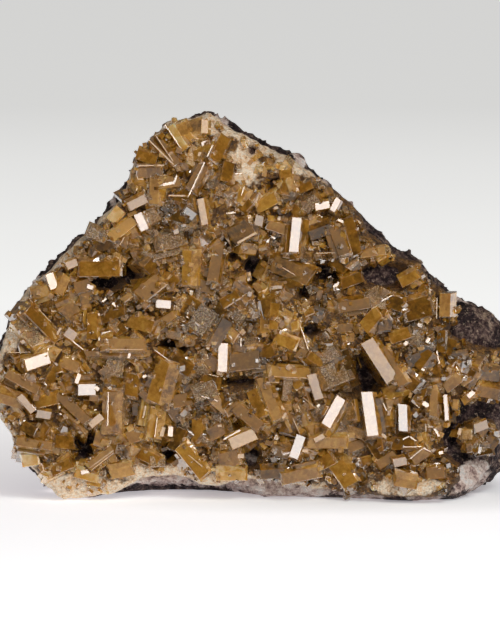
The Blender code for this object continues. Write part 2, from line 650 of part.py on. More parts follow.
def build():
    for obj in list(bpy.data.objects):
        bpy.data.objects.remove(obj)
    parts = bpy.data.collections.new("Barite crystal cluster")
    cutters = bpy.data.collections.new("Cutters")
    bpy.context.scene.collection.children.link(parts)
    bpy.context.scene.collection.children.link(cutters)
    dice = random.Random(CRYSTAL_SEED)

    rock = build_rock(parts)
    gap = grown_copy("gap_cutter", rock, NODE_GAP, cutters)
    floor = floor_cutter("floor_cutter", 0.0, cutters)
    boolean(rock, floor, "DIFFERENCE")
    boolean(rock, arch_cutter(cutters), "DIFFERENCE")
    keep_largest_body(rock)

    low_floor = floor_cutter("crystal_floor_cutter", FLOOR_GAP, cutters)
    crust = build_layer("barite_crust", LAYER_OUTLINE, LAYER_TRIANGLES, parts)
    blocks = crystal_blocks("crust_blocks", CRYSTALS, dice, cutters)
    join_crystals(crust, blocks, gap, low_floor)

    group = build_layer("barite_group_right", GROUP_OUTLINE, GROUP_TRIANGLES, parts)
    group_blocks = crystal_blocks("group_blocks", GROUP_CRYSTALS, dice, cutters)
    join_crystals(group, group_blocks, gap, low_floor)


build()
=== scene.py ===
"""The looks of the barite crystal cluster: fine rock, cream and honey barite, crystals, light and camera.

Units are metres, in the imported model's frame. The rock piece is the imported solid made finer. The crystals
stand where the solids' crystals stand, from the same outlines, places and sizes.
"""

import math
import random
from typing import NamedTuple

import bpy
import numpy as np
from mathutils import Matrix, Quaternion, Vector, noise
from mathutils.bvhtree import BVHTree


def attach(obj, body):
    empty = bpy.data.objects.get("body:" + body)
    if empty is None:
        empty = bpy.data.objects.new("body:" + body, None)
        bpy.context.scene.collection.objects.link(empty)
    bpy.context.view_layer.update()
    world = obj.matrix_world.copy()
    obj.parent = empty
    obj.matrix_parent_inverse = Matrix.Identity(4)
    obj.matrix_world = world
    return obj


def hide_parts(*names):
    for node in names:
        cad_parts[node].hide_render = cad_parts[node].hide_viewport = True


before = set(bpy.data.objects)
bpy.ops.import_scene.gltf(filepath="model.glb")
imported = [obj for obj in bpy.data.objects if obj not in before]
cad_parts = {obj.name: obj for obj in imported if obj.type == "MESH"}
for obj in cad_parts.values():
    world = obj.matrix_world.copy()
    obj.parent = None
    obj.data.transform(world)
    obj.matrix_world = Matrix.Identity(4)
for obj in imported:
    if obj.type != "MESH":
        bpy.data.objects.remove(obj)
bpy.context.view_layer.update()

MM = 0.001

# The solids' dimensions, in metres, and slopes in metres per metre
PLATE_WIDTH = 0.1563
ROCK_FRONT_AT_FOOT = -0.0168
LEAN = 0.135
RIGHT_SLOPE_START = 0.048
RIGHT_SLOPE = 0.38
LAYER_THICKNESS = 0.0050
LAYER_ROOT = 0.0036
LAYER_SUNK = 0.0019
BARE_PATCH_SINK = 0.0085
LAYER_FRONT_RADIUS = 0.005
LAYER_BACK_RADIUS = 0.003
PROUD_LEAST = 0.0006
PROUD_PER_LENGTH = 0.28
BRIGHT_EXTRA = 0.0010
BRIGHT_LIFT = 0.0007
DEPTH_LEAST = 0.0055
DEPTH_PER_LENGTH = 0.45
FOOT_HEIGHT = 0.014
FOOT_DEPTH_SHARE = 0.5
FLOOR_GAP = 0.0004
HOLLOW_DEPTH = 0.0045
LOBE_HEIGHT = 0.0075
FRONT_SWELLS = (0.040, 0.0022)
FRONT_LUMPS = (0.015, 0.0012)
LAYER_LUMPS = (0.013, 0.0014)
LAYER_CRUMBLE = (0.009, 0.0009)

# The fine meshes of the rock and of the layer, their edges and their roughness
ROCK_VOXEL = 0.0009
LAYER_VOXEL = 0.0010
SLAB_HALF = 0.005
EDGE_START = 0.0004
FINE_CRUMBLE = (0.0025, 0.0006)
GRAINS_PER_METRE = 300.0
GRAIN_HEIGHT = 0.0004
ROCK_CHIPS = ((0.0075, 0.0012), (0.0030, 0.0008))
CHIP_STEP = 1.2
CHIP_TILT = 1.6
CALM_FOOT = 0.002

# Pale stone wavers, and ends behind the rock's front. Cream barite lines the layer's edge on the left
PALE_WAVER = (0.010, 0.004)
PALE_END = 0.014
PALE_FADE = 0.006
# Painted shade in the rock's bare hollows: how much darker they are
PAINTED_HOLLOW_SHADE = 0.3
CREAM_EDGE = 0.0035
CREAM_EDGE_END = 0.030
CREAM_EDGE_FADE = 0.020

# The places that a smooth noise vector's parts are read at
DRIFT_READS = (3.1, 17.7, 41.3)

# The front view that the outlines and the crystals' places are given in: columns to the right, rows down
VIEW_COLUMNS = 521.0
MIDDLE_COLUMN = 257.4
FOOT_ROW = 499.0
ROW_STRETCH = 1.01
VIEW_STEP = PLATE_WIDTH / VIEW_COLUMNS
VIEW_RISE = 0.105

# The camera looks 6 degrees down from far away, and sees this picture, in steps of the front view
CAMERA_RISE = 6.0
CAMERA_DISTANCE = 3.0
CAMERA_SIGHT = 20.0
PICTURE_COLUMNS = 500
PICTURE_ROWS = 640
PICTURE_FOOT_ROW = 493.1
SENSOR = 36.0

# The key light shows in the crystals' bright faces, its rim in the dim ones, and the panel in others.
# Faces that aren't to shine keep a clearance in degrees, and all of them stray a little
LIT_CENTRE = Vector((0.0, -0.02, 0.055))
KEY_DIRECTION = (0.288, -0.791, 0.539)
KEY_DISTANCE = 0.90
KEY_CLEARANCE = 10.0
DIM_TILT = 5.1
SHINING_STRAY = 0.006
PLAIN_STRAY = 0.10


class Lamp(NamedTuple):
    """A square lamp that faces the object. Its radiance is what a mirror would show of it."""

    direction: tuple
    distance: float
    side: float
    radiance: float
    colour: tuple


LAMPS = {
    "Key": Lamp(KEY_DIRECTION, KEY_DISTANCE, 0.22, 7.2, (1.0, 0.98, 0.98)),
    "Rim": Lamp(KEY_DIRECTION, KEY_DISTANCE + 0.02, 0.44, 4.4, (1.0, 0.97, 0.95)),
    "Panel": Lamp((0.14, -0.72, 0.68), 1.20, 1.20, 0.9, (1.0, 0.90, 0.77)),
}
WORLD_RADIANCE = 0.10
WORLD_COLOUR = (1.0, 0.90, 0.78, 1.0)

# The floor, and the painted shadow that the object leaves on it. The floor's glow is tinted pink near the
# object, painted light bounced from it, and the floor's own bluish colour keeps the open floor white
FLOOR_HALF = 4.0
FLOOR_GREY_END = 1.5
FLOOR_COLOUR = (0.88, 0.965, 1.0, 1.0)
PAINTED_SHADOW_MIDDLE = (0.030, 0.0, 0.0)
PAINTED_SHADOW_HALF_SIZES = (0.104, 0.060, 1.0)
PAINTED_SHADOW_GLOW = 0.54

# Barite: its index of refraction, how much of it is clear, and how far light spreads inside of the rest
BARITE_INDEX = 1.64
CLEAR_SHARE = 0.35
GLOW_SHARE = 0.5
GLOW_REACH = 0.0022
GLOW_COLOURS = (0.8, 0.45, 0.2)

LAYER_OUTLINE = (
    (62, 496), (40, 478), (22, 454), (13, 434), (2, 418), (-1, 395), (0, 350), (6, 330), (20, 308),
    (30, 288), (52, 271), (66, 255), (83, 237), (100, 223), (114, 207), (126, 194), (131, 174), (138, 155),
    (152, 138), (168, 121), (182, 121), (196, 119), (209, 113), (225, 125), (241, 132), (256, 142),
    (272, 151), (291, 158), (307, 170), (325, 184), (344, 198), (358, 214), (368, 232), (384, 245),
    (396, 257), (418, 262), (428, 282), (446, 296), (457, 312), (452, 324), (445, 333), (470, 345),
    (486, 350), (508, 351), (514, 368), (512, 390), (497, 408), (478, 402), (464, 398), (456, 412),
    (443, 428), (443, 452), (462, 465), (458, 480), (443, 493), (415, 493), (380, 491), (350, 492),
    (325, 488), (300, 484), (270, 481), (240, 476), (220, 484), (200, 483), (175, 473), (150, 473),
    (128, 485), (108, 493), (82, 495),
)  # fmt: skip

GROUP_OUTLINE = (
    (456, 428), (466, 421), (482, 418), (494, 424), (500, 436), (496, 450), (484, 457), (468, 456),
    (457, 444),
)  # fmt: skip


class Patch(NamedTuple):
    """An oval place in the front view: its middle and its half sizes."""

    column: float
    row: float
    across: float
    down: float


def patches(*rows):
    """Patches from rows of their fields."""
    return tuple(Patch(*row) for row in rows)


# How many half sizes from its middle a patch ends. It fades in over the last one
PATCH_END = 1.25

BARE_PATCHES = patches(
    (131, 269, 9, 19), (105, 281, 22, 8), (233, 246, 9, 13), (254, 270, 13, 18), (325, 272, 24, 9),
    (303, 289, 6, 12), (308, 326, 12, 9), (365, 374, 17, 26), (382, 275, 30, 16), (450, 437, 9, 16),
    (236, 421, 8, 11), (238, 378, 19, 8), (250, 456, 12, 13), (85, 446, 14, 14), (168, 450, 8, 11),
    (173, 344, 12, 8), (278, 181, 8, 6), (252, 150, 6, 7), (408, 402, 9, 8),
)  # fmt: skip

ROCK_HOLLOWS = patches(
    (365, 374, 20, 30), (131, 269, 10, 20), (254, 272, 15, 20), (250, 456, 14, 15), (85, 446, 18, 18),
    (173, 344, 16, 12), (325, 274, 28, 12),
)  # fmt: skip

ROCK_LOBES = patches((428, 498, 84, 38))

# Where the rock's edge is worn back
ROCK_TRIMS = patches(
    (68, 255, 18, 17), (92, 233, 15, 15), (240, 130, 18, 11), (316, 172, 19, 15), (396, 246, 22, 12),
    (464, 302, 17, 10),
)  # fmt: skip
TRIM_DEPTH = 0.0013

# Cream barite with no crystals of its own
CREAM_PATCHES = patches(
    (246, 163, 21, 29), (292, 166, 30, 11), (110, 217, 12, 9), (205, 119, 20, 7), (85, 484, 56, 19),
    (140, 468, 28, 14), (172, 470, 14, 10), (215, 478, 32, 9), (402, 481, 48, 12), (30, 458, 12, 14),
    (224, 126, 20, 12), (116, 212, 14, 16), (13, 338, 10, 18), (12, 385, 10, 16),
)  # fmt: skip

# Pale stone on the rock
PALE_PATCHES = patches(
    (474, 481, 26, 18), (250, 486, 92, 17), (165, 480, 48, 14), (335, 493, 70, 10), (250, 457, 12, 8),
    (410, 494, 48, 9), (60, 500, 50, 8), (478, 294, 34, 8), (222, 117, 13, 8), (298, 158, 8, 8),
    (324, 184, 11, 11), (348, 210, 12, 12), (266, 138, 5, 6), (112, 200, 12, 12), (30, 283, 8, 10),
)  # fmt: skip

# Lighter crystals than the others, and darker ones
LIGHT_PLACES = (
    (178, 138), (123, 229), (190, 268), (162, 382), (197, 432), (265, 200), (160, 424), (240, 196),
    (232, 473), (122, 470), (88, 473), (40, 291), (31, 457), (444, 305), (286, 340), (116, 215),
    (147, 284), (272, 397), (196, 461), (32, 330), (345, 474), (36, 440), (290, 369), (398, 332),
    (228, 296), (135, 385), (434, 468), (372, 322), (440, 341),
)  # fmt: skip
DARK_PLACES = (
    (408, 378), (485, 372), (349, 368), (285, 284), (284, 254), (487, 438), (292, 268), (289, 192),
    (468, 378), (104, 244), (222, 334), (483, 449), (466, 430), (487, 390), (340, 418), (380, 415),
    (62, 464), (286, 173), (240, 230), (205, 322), (320, 230),
)  # fmt: skip

# Crystals whose front faces are frosted
FROSTED_PLACES = (
    (204, 384), (332, 367), (30, 330), (170, 236), (200, 241), (220, 185), (110, 363),
    (205, 322), (283, 385), (414, 335), (97, 230), (310, 200), (321, 349),
)  # fmt: skip

# The ways that a crystal's front face looks, as directions out of it. Bright and dim ones face the key
FACINGS = {
    "high": (0.06, -0.92, 0.40),
    "left": (-0.34, -0.93, 0.12),
    "right": (0.40, -0.90, 0.10),
    "low": (0.05, -0.97, -0.22),
    "level": (-0.05, -0.99, 0.10),
}


class Crystal(NamedTuple):
    """A crystal by its front face: its middle in the front view, and its sides in millimetres."""

    column: float
    row: float
    length: float
    width: float
    turn: float
    facing: str


def crystals(*rows):
    """Crystals from rows of their fields."""
    return tuple(Crystal(*row) for row in rows)


CRYSTALS = crystals(
    # Top of the plate, with its fan of blades
    (178, 138, 8.6, 2, -58, "level"), (166, 151, 11, 2.6, -50, "high"),
    (160, 149, 5.6, 2.4, -40, "level"), (147, 158, 6.5, 3, -20, "level"),
    (185, 132, 7.5, 5, -60, "level"), (205, 127, 4.2, 2, 88, "dim"), (203, 150, 7, 4.5, 20, "left"),
    (204, 170, 14.4, 4.2, 60, "high"), (222, 150, 8.5, 4.5, 62, "right"), (170, 182, 6.5, 3, 5, "high"),
    (150, 172, 8, 4, 0, "low"), (157, 192, 9, 4.2, 88, "left"), (185, 196, 8.5, 5, 40, "level"),
    (226, 190, 6.5, 4.2, -15, "high"), (240, 196, 6, 4.5, 60, "left"), (228, 172, 6, 3.2, 80, "right"),
    (265, 200, 8, 5, 30, "left"), (286, 173, 4.5, 4, 10, "level"),
    (289, 192, 6.5, 4, -30, "level"), (303, 186, 5.5, 3.5, 25, "left"),
    # Upper left slope
    (142, 222, 5.5, 2.4, -65, "bright"), (123, 229, 9, 3, 38, "high"), (138, 203, 6.2, 2.6, 25, "dim"),
    (116, 215, 5, 3, 50, "level"), (97, 232, 6.5, 4.4, -20, "left"), (104, 244, 7, 4, 15, "level"),
    (170, 236, 10, 6.5, 12, "high"), (175, 218, 5.5, 4.2, 35, "left"), (200, 241, 6, 4.5, -25, "low"),
    (203, 212, 8, 2, -80, "dim"), (100, 266, 13.6, 6, 2, "level"), (73, 264, 3.6, 2.2, 20, "dim"),
    (53, 281, 5, 2.4, -70, "bright"), (40, 291, 6.5, 4, 20, "left"), (66, 286, 6.5, 4, 65, "right"),
    (84, 286, 5.5, 3.2, 15, "high"), (147, 284, 10, 7.5, 38, "high"), (120, 247, 6.5, 4.2, 70, "right"),
    (172, 281, 5.5, 3.6, 45, "level"), (190, 268, 11.4, 4.6, 88, "left"),
    (216, 262, 11, 3.2, 80, "high"), (240, 230, 10, 7, 28, "level"), (259, 221, 3.4, 2.4, 80, "dim"),
    (155, 262, 7, 3, 48, "right"),
    # Middle of the plate
    (292, 268, 13, 6.4, -20, "level"), (285, 284, 9.5, 3.2, 12, "level"),
    (284, 254, 10.5, 4.2, 10, "left"), (278, 228, 7, 2.6, -18, "high"),
    (295, 235, 10.2, 2.8, 84, "bright"), (305, 232, 8.5, 4, 84, "right"),
    (320, 230, 8, 4.5, 20, "low"), (322, 206, 4.4, 2.1, 10, "bright"),
    (335, 205, 4.3, 1.8, 60, "bright"), (340, 238, 11.5, 4.6, -70, "high"),
    (354, 236, 12, 4, -74, "right"), (309, 202, 6, 5, 40, "left"),
    (265, 318, 8.5, 2.8, 88, "level"), (274, 316, 8, 2.6, 85, "right"),
    (205, 322, 9, 7.5, 55, "level"), (222, 334, 10.8, 4.4, 60, "right"),
    (164, 304, 4.7, 2.3, -5, "bright"), (167, 316, 5.5, 3.4, 30, "high"),
    (195, 301, 5, 3.8, -30, "left"), (207, 287, 6, 3, -20, "high"), (228, 296, 7, 4.6, 35, "left"),
    (245, 303, 6.5, 4.2, -50, "right"), (223, 357, 8.4, 2.8, 88, "bright"),
    (244, 356, 9.8, 7.4, 8, "high"), (290, 369, 13, 4.4, -5, "high"), (264, 352, 7.5, 4, 25, "left"),
    (304, 354, 4.5, 3.8, 50, "high"), (286, 340, 7.5, 4.2, -20, "level"), (327, 352, 6.5, 5, 30, "left"),
    (332, 369, 10.5, 8.5, 20, "high"), (349, 368, 12, 2.6, -72, "right"),
    (315, 386, 8, 2.6, -72, "dim"), (272, 397, 13.5, 4.6, -68, "high"),
    (258, 402, 9, 4.4, -68, "left"), (250, 414, 10.5, 4.6, -38, "high"),
    (290, 388, 7.5, 4.2, 85, "right"), (290, 424, 7, 5, 75, "left"),
    (297, 446, 7, 2.8, 70, "bright"), (281, 448, 7, 4.4, -15, "high"), (243, 438, 8.4, 3.4, 22, "dim"),
    # Left side
    (46, 322, 13.5, 4.4, -47, "right"), (32, 330, 11, 5.5, -47, "high"), (72, 334, 3.8, 2.8, -35, "dim"),
    (93, 326, 8, 3, 88, "level"), (39, 361, 7.5, 3.4, 17, "bright"), (24, 362, 6.5, 4.5, -50, "left"),
    (25, 380, 11.4, 3.4, -28, "high"), (13, 398, 9, 4.5, -20, "low"), (28, 403, 6.5, 1.8, -50, "dim"),
    (46, 398, 8, 4.4, 15, "left"), (72, 361, 7, 4.6, -20, "high"), (56, 377, 6.5, 4.2, 60, "right"),
    (124, 342, 14, 4.6, -1, "high"), (116, 364, 7.5, 5, 80, "level"),
    (142, 322, 9, 4.8, -12, "left"), (112, 312, 8, 4.5, 25, "left"), (88, 389, 5.5, 3.2, 0, "bright"),
    (75, 406, 12.6, 3.4, -42, "high"), (112, 411, 14, 5.4, 88, "left"),
    (135, 385, 8, 5, 84, "right"), (45, 414, 4.6, 2.2, -10, "dim"), (36, 440, 12, 3.6, -8, "high"),
    (66, 438, 6.5, 5.5, -8, "right"), (31, 457, 5.5, 4.6, 10, "level"), (102, 454, 10.5, 3.4, 37, "high"),
    (62, 464, 7, 4, 25, "left"), (88, 473, 7.5, 3.6, -15, "level"), (122, 470, 7.5, 4, 10, "low"),
    # Lower middle
    (162, 382, 14.4, 6, 75, "left"), (184, 362, 8, 6, -30, "level"),
    (182, 397, 6.5, 4.6, 10, "high"), (203, 386, 8, 7, 20, "high"), (160, 424, 10.5, 6, 80, "right"),
    (136, 433, 6, 4.4, 20, "high"), (197, 432, 8.4, 3, 88, "left"), (180, 440, 7.5, 4.6, 60, "level"),
    (195, 459, 12.4, 5, -51, "level"), (213, 430, 8, 5, 30, "left"),
    (228, 455, 7.5, 6.5, 15, "left"), (232, 473, 9.5, 4, 0, "low"), (150, 455, 7, 4.2, -25, "level"),
    (222, 402, 7, 4.4, -45, "right"), (327, 440, 12.5, 4.4, 0, "level"),
    (300, 472, 12.5, 4.8, 12, "level"), (272, 470, 8, 4.4, 5, "level"),
    (346, 470, 10.8, 7.2, -55, "level"), (322, 460, 7.5, 4.8, 30, "left"),
    (317, 428, 5.5, 3.2, 15, "high"),
    # Right side
    (379, 360, 14.4, 3.8, -57, "dim"), (391, 366, 12.5, 3, -57, "high"),
    (369, 413, 13.2, 3.4, -82, "bright"), (381, 415, 11.5, 4, -80, "level"),
    (333, 411, 9.6, 3, 60, "bright"), (340, 418, 8.5, 4.4, 60, "right"),
    (402, 417, 8, 2.6, -88, "bright"), (354, 442, 5.5, 4, 20, "high"),
    (355, 302, 11, 4.6, 8, "high"), (350, 277, 7.5, 5, 20, "level"), (372, 250, 8, 3.4, 8, "high"),
    (372, 322, 8, 5.5, 50, "left"), (392, 300, 7.5, 5, -20, "level"),
    (416, 304, 9.5, 8.5, 15, "level"), (407, 276, 6.5, 4.4, 30, "left"), (444, 305, 7.4, 3.2, 88, "level"),
    (440, 341, 6.6, 2.4, 88, "level"), (453, 346, 5.5, 4.6, 80, "right"), (414, 337, 5.5, 4.2, 70, "high"),
    (398, 332, 7, 5, 20, "left"), (424, 360, 7, 4.6, 55, "left"), (408, 378, 8, 5, -35, "left"),
    (435, 402, 8.4, 3.6, 88, "high"), (445, 407, 7.6, 1.2, -86, "bright"),
    (422, 395, 6.5, 4.4, 60, "right"), (450, 380, 6.5, 4.6, 40, "left"), (485, 372, 9.5, 4.4, -8, "level"),
    (487, 390, 8, 4.8, -12, "low"), (468, 378, 6, 4, 60, "left"), (466, 398, 3.6, 2.2, 40, "left"),
    (402, 440, 8, 5, 5, "left"), (378, 448, 7.5, 4.6, -60, "level"), (399, 461, 4.4, 2.4, 10, "dim"),
    (418, 453, 6.5, 4.4, 35, "level"), (434, 468, 6.6, 5.2, 5, "high"), (386, 459, 6.5, 2.6, 30, "high"),
    (405, 480, 7, 4, -10, "low"),
)  # fmt: skip

GROUP_CRYSTALS = crystals(
    (480, 426, 4.6, 2.4, 20, "dim"), (466, 430, 4.6, 3.2, 20, "left"), (487, 438, 5.5, 4, 80, "level"),
    (471, 444, 6, 4.2, -10, "level"), (483, 449, 5, 3.2, 10, "level"),
)  # fmt: skip

# Small shining faces between the large crystals, and shining edges of them
SPARKS = crystals(
    (91, 287, 1.8, 1.1, -20, "bright"), (37, 304, 2, 0.9, -30, "bright"),
    (205, 144, 1.8, 1.4, 20, "bright"), (79, 378, 2.8, 1.2, 70, "bright"),
    (98, 388, 1.4, 1.1, -35, "bright"), (86, 471, 2.4, 1, 10, "bright"), (163, 431, 2.8, 1.1, 75, "dim"),
    (171, 431, 2.8, 1.4, 85, "bright"), (436, 432, 2.6, 0.6, -60, "bright"),
    (459, 431, 2, 1, 70, "dim"), (241, 455, 1.8, 1.2, 0, "dim"), (130, 355, 1.6, 0.8, 75, "bright"),
    (189, 315, 1.6, 1, 80, "bright"), (427, 340, 1.5, 0.9, 60, "bright"),
    (405, 343, 1.3, 1, 50, "bright"), (422, 369, 1, 0.7, -30, "bright"),
    (318, 405, 1, 0.7, 40, "bright"), (340, 221, 1.8, 0.7, -25, "bright"),
    (105, 300, 1.5, 0.6, 40, "bright"), (305, 300, 0.9, 0.6, 0, "bright"),
    (425, 404, 2.2, 1.2, -35, "bright"), (383, 435, 1.6, 0.8, -40, "dim"),
    (470, 394, 2.2, 1.3, 40, "bright"), (336, 285, 2.2, 0.9, 40, "bright"), (60, 331, 2.2, 0.6, 60, "dim"),
    (200, 155, 1.3, 0.9, 70, "dim"), (169, 184, 3.4, 0.8, 10, "bright"),
    (176, 179, 2.2, 0.5, 70, "bright"), (97, 420, 4.4, 2, 38, "dim"), (62, 413, 0.8, 0.6, 0, "bright"),
    (145, 411, 3.6, 0.5, 78, "dim"), (145, 376, 1.2, 0.7, 30, "bright"),
    (232, 213, 1.2, 0.5, 10, "bright"), (276, 208, 1.2, 0.8, 10, "dim"),
    (273, 237, 1.5, 0.6, -50, "bright"), (116, 305, 2, 0.7, -40, "bright"),
    (220, 425, 1.1, 0.6, 10, "dim"), (319, 437, 3.4, 1.3, 25, "dim"), (284, 415, 1.8, 0.7, 50, "dim"),
    (305, 450, 1.8, 0.8, -10, "dim"), (440, 452, 1.4, 0.9, 20, "bright"),
    # Edges
    (201, 171, 16.5, 0.34, 64, "bright"), (162, 153, 10.2, 0.35, -45, "dim"),
    (165, 149, 9.4, 0.25, -56, "dim"), (152, 166, 7.6, 0.4, 0, "dim"),
    (174, 138, 9, 0.25, -56, "bright"), (436, 308, 6, 0.35, 88, "dim"),
    (304, 337, 7.2, 0.25, -71, "bright"), (210, 398, 5.2, 0.25, -16, "bright"),
    (164, 356, 6.6, 0.18, -36, "bright"), (296, 425, 5, 0.16, -65, "dim"),
    (309, 402, 5, 0.16, -40, "dim"), (437, 357, 3.8, 0.35, -78, "bright"),
    (411, 446, 5.6, 0.22, 0, "bright"), (415, 453, 4.9, 0.22, 38, "bright"),
    (426, 449, 2.4, 0.3, -28, "bright"), (405, 437, 2, 0.35, 25, "bright"),
    (412, 438, 2.2, 0.35, -35, "bright"), (79, 345, 3.8, 0.3, -39, "bright"),
    (325, 253, 5.6, 0.2, 0, "dim"), (386, 298, 3.4, 0.25, 28, "bright"), (22, 352, 7.5, 0.16, 0, "dim"),
    (247, 238, 6.2, 0.6, 28, "dim"), (288, 271, 5.2, 0.2, -31, "dim"), (109, 408, 9.6, 0.3, 89, "bright"),
    (100, 343, 3.6, 0.4, 87, "bright"), (107, 332, 2.8, 0.3, 14, "bright"),
    (125, 349, 11, 0.2, -2, "dim"), (157, 424, 7.4, 0.25, 82, "bright"),
    (384, 406, 2.4, 0.3, -65, "bright"), (103, 458, 9, 0.22, 35, "dim"),
    (41, 310, 9.5, 0.18, -47, "dim"), (238, 174, 2.2, 0.3, 3, "bright"),
    (243, 191, 2.8, 0.3, 72, "bright"), (179, 196, 6, 0.4, -2, "dim"), (123, 241, 2.6, 0.25, 58, "dim"),
    (231, 213, 2.8, 0.3, 4, "bright"), (196, 460, 5.4, 0.22, -40, "dim"),
    (231, 337, 1.2, 0.3, -55, "bright"), (241, 342, 2.4, 0.3, 88, "bright"),
    (232, 434, 5.6, 0.4, 28, "bright"), (214, 375, 3, 0.25, -14, "dim"),
    (359, 362, 3.4, 0.4, -70, "dim"),
)  # fmt: skip
SPARK_LIFT = 0.0002
SPARK_DEPTH = 0.0022
SPARK_TONE = 0.8
SPARK_FACET = 0.1
SPARK_REACHES = (-0.45, -0.2, 0.0, 0.2, 0.45)
SPARK_DEPTHS = (0.3, 0.3)


class Fill(NamedTuple):
    """A crowd of small crystals between the large ones: how many, and the range of their lengths.

    inset is how far they keep from the outline, in lengths of the longest.
    """

    count: int
    shortest: float
    longest: float
    proud: float
    tilt: float
    inset: float


FILLS = (
    Fill(400, 3.4, 6.4, 0.0022, 0.38, 0.56),
    Fill(1300, 1.6, 3.2, 0.0014, 0.5, 0.5),
    Fill(3200, 0.7, 1.5, 0.0007, 0.65, 0.35),
)
GROUP_FILLS = (Fill(26, 2.4, 4.2, 0.0030, 0.35, 0.35), Fill(60, 1.0, 2.2, 0.0016, 0.5, 0.35))

# How a crowd's crystals are drawn: where they are left out, and ranges of their sizes, tones and frost
FILL_BARE = (0.02, 0.3)
FILL_CREAM = 0.2
FILL_CREAM_LEFT_OUT = 0.8
FILL_WIDTHS = (0.35, 0.75)
FILL_DEPTH = 1.2
FILL_PROUD = (0.2, 1.2)
FILL_LEAST_HEIGHT = 0.0025
FILL_FACETS = (0.02, 0.3)
FILL_END_CUT = (0.0, 0.2)
FILL_SKEW = 0.2
FILL_CLEAR_CREAM = 0.4
FILL_CREAM_TONES = (0.8, 1.2)
FILL_STRAY = 0.22
FILL_FROST_POWER = 6
FILL_DEPTHS = (0.7, 1.0)

# Druse: where it grows, and the same for its crystals
DRUSE_COUNT = 1100
DRUSE_COLUMNS = (0.0, 512.0)
DRUSE_ROWS = (112.0, 496.0)
DRUSE_SLANT = 0.5
DRUSE_FACING_FRONT = -0.55
DRUSE_BARE = 0.12
DRUSE_CREAM = 0.4
DRUSE_LEAST_HEIGHT = 0.002
DRUSE_LENGTHS = (0.7, 2.0)
DRUSE_WIDTHS = (0.4, 0.8)
DRUSE_DEPTH = 0.9
DRUSE_TILT = 0.4
DRUSE_FORWARD = Vector((0.0, -0.5, 0.0))
DRUSE_LEAST_FRONT = -0.15
DRUSE_TONES = (-0.2, 0.25)
DRUSE_FROST_POWER = 5
DRUSE_PROUD = (0.05, 0.3)
DRUSE_FACET = 0.1

# How far in front of the plate the rays start that find the places of sparks and druse
RAY_START = 0.05

# Seeds of the crystals' facings, of their looks and of the three crowds
CRYSTAL_SEED = 11
LOOK_SEED = 5
CROWD_SEEDS = (21, 22, 23)

# A wide crystal's front is part face, part facet: how far a facet reaches sideways for its depth
WIDE_FACE = 3.3
FACET_REACH = 0.8
FACET_SHARE = (0.22, 0.42)

# Ranges of the facets, of what is cut off the ends and of the ends' skew, in widths of the crystal
NARROW_FACET = (0.02, 0.06)
BROAD_FACET = (0.3, 0.8)
END_CUT = (0.02, 0.1)
WIDE_END_CUT = (0.1, 0.3)
SKEW = 0.12
STEEP_TURN = 50

# Tones, from dark brown at 0 to cream at 1: the barite's own, at its left end and top, and of single
# crystals, and painted light and shade on each block's faces
PLAIN_TONE = 0.60
TONE_LUMPS = (0.013, 0.32)
LEFT_LIGHTER = 0.12
LEFT_START = -0.035
TOP_LIGHTER = 0.10
TOP_START = 0.080
LIGHTER_FADE = 0.02
TONE_STRAY = 0.12
LIGHTER = 0.25
CREAMIER = 0.25
DARKER = 0.25
# Painted light and shade on each block's faces, added to its tone: the upper facet lighter, the lower facet,
# both sides and the ends darker
PAINTED_FACE_SHADES = (0.0, 0.05, -0.08, 0.0, -0.12, -0.05)
PAINTED_END_SHADE = -0.04
FROST_POWER = 4
FRONT_DEPTHS = 0.55
CLEAR_DEPTHS = 0.3

# Growth steps on the crystals' fronts, in shares of the crystal, and the length of the shortest that has them
STEPPED_LENGTH = 5.0
STEP_COUNTS = (2, 3, 4)
STEP_LENGTHS = (0.3, 0.9)
STEP_WIDTHS = (0.25, 0.6)
STEP_DEPTH = 0.8
STEP_SINKS = (0.0010, 0.0035)
STEP_SHIFT = 0.45
STEP_ASIDE = (0.4, 0.8)
SHINING_ASIDE = 0.2
STEP_BARE = 0.3
STEP_SHADES = (-0.2, 0.15)
STEP_TURNS = (15.0, 50.0)

# What counts as close: to a listed place, in steps of the view, and to a bright face, in lengths or mm
NEAR = 9.0
CLEAR_LENGTHS = 0.55
CLEAR_SIDE = 1.5

# The bevels: the least angle of an edge that gets one, in degrees, and their widths
EDGE_ANGLE = 25.0
LARGE_EDGE = 0.00006
GROUP_EDGE = 0.00008


def front_view(column, row):
    """The x and z of a place in the front view, on the plate's leaning front."""
    return (column - MIDDLE_COLUMN) * VIEW_STEP, (FOOT_ROW - row) * VIEW_STEP / ROW_STRETCH


def ease(amount):
    """0 to 1 smoothly, and flat beyond both."""
    amount = min(max(amount, 0.0), 1.0)
    return amount * amount * (3.0 - 2.0 * amount)


def relief(x, z, lumps, seed):
    """The height of smooth lumps of this size and height."""
    size, height = lumps
    return height * noise.noise(Vector((x / size, seed, z / size)))


def drift(place):
    """A smooth noise vector. Each of its parts is read at a place of its own."""
    return Vector([noise.noise(place + Vector((offset, 0.0, -offset))) for offset in DRIFT_READS])


def patch_depth(x, z, places):
    """1 in the middle of a patch, 0 outside all of them."""
    deepest = 0.0
    for patch in places:
        centre_x, centre_z = front_view(patch.column, patch.row)
        across = (x - centre_x) / (patch.across * VIEW_STEP)
        up = (z - centre_z) / (patch.down * VIEW_STEP)
        deepest = max(deepest, ease(PATCH_END - math.hypot(across, up)))
    return deepest


def leaning_plane(z):
    """The y of the plane that the rock's front follows."""
    return ROCK_FRONT_AT_FOOT + LEAN * z


def rock_front(x, z):
    """The y of the rock's front, before its edges are rounded."""
    y = leaning_plane(z) + RIGHT_SLOPE * max(x - RIGHT_SLOPE_START, 0.0)
    y += relief(x, z, FRONT_SWELLS, 1.0) + relief(x, z, FRONT_LUMPS, 2.0)
    y -= LOBE_HEIGHT * patch_depth(x, z, ROCK_LOBES)
    return y + HOLLOW_DEPTH * patch_depth(x, z, ROCK_HOLLOWS)


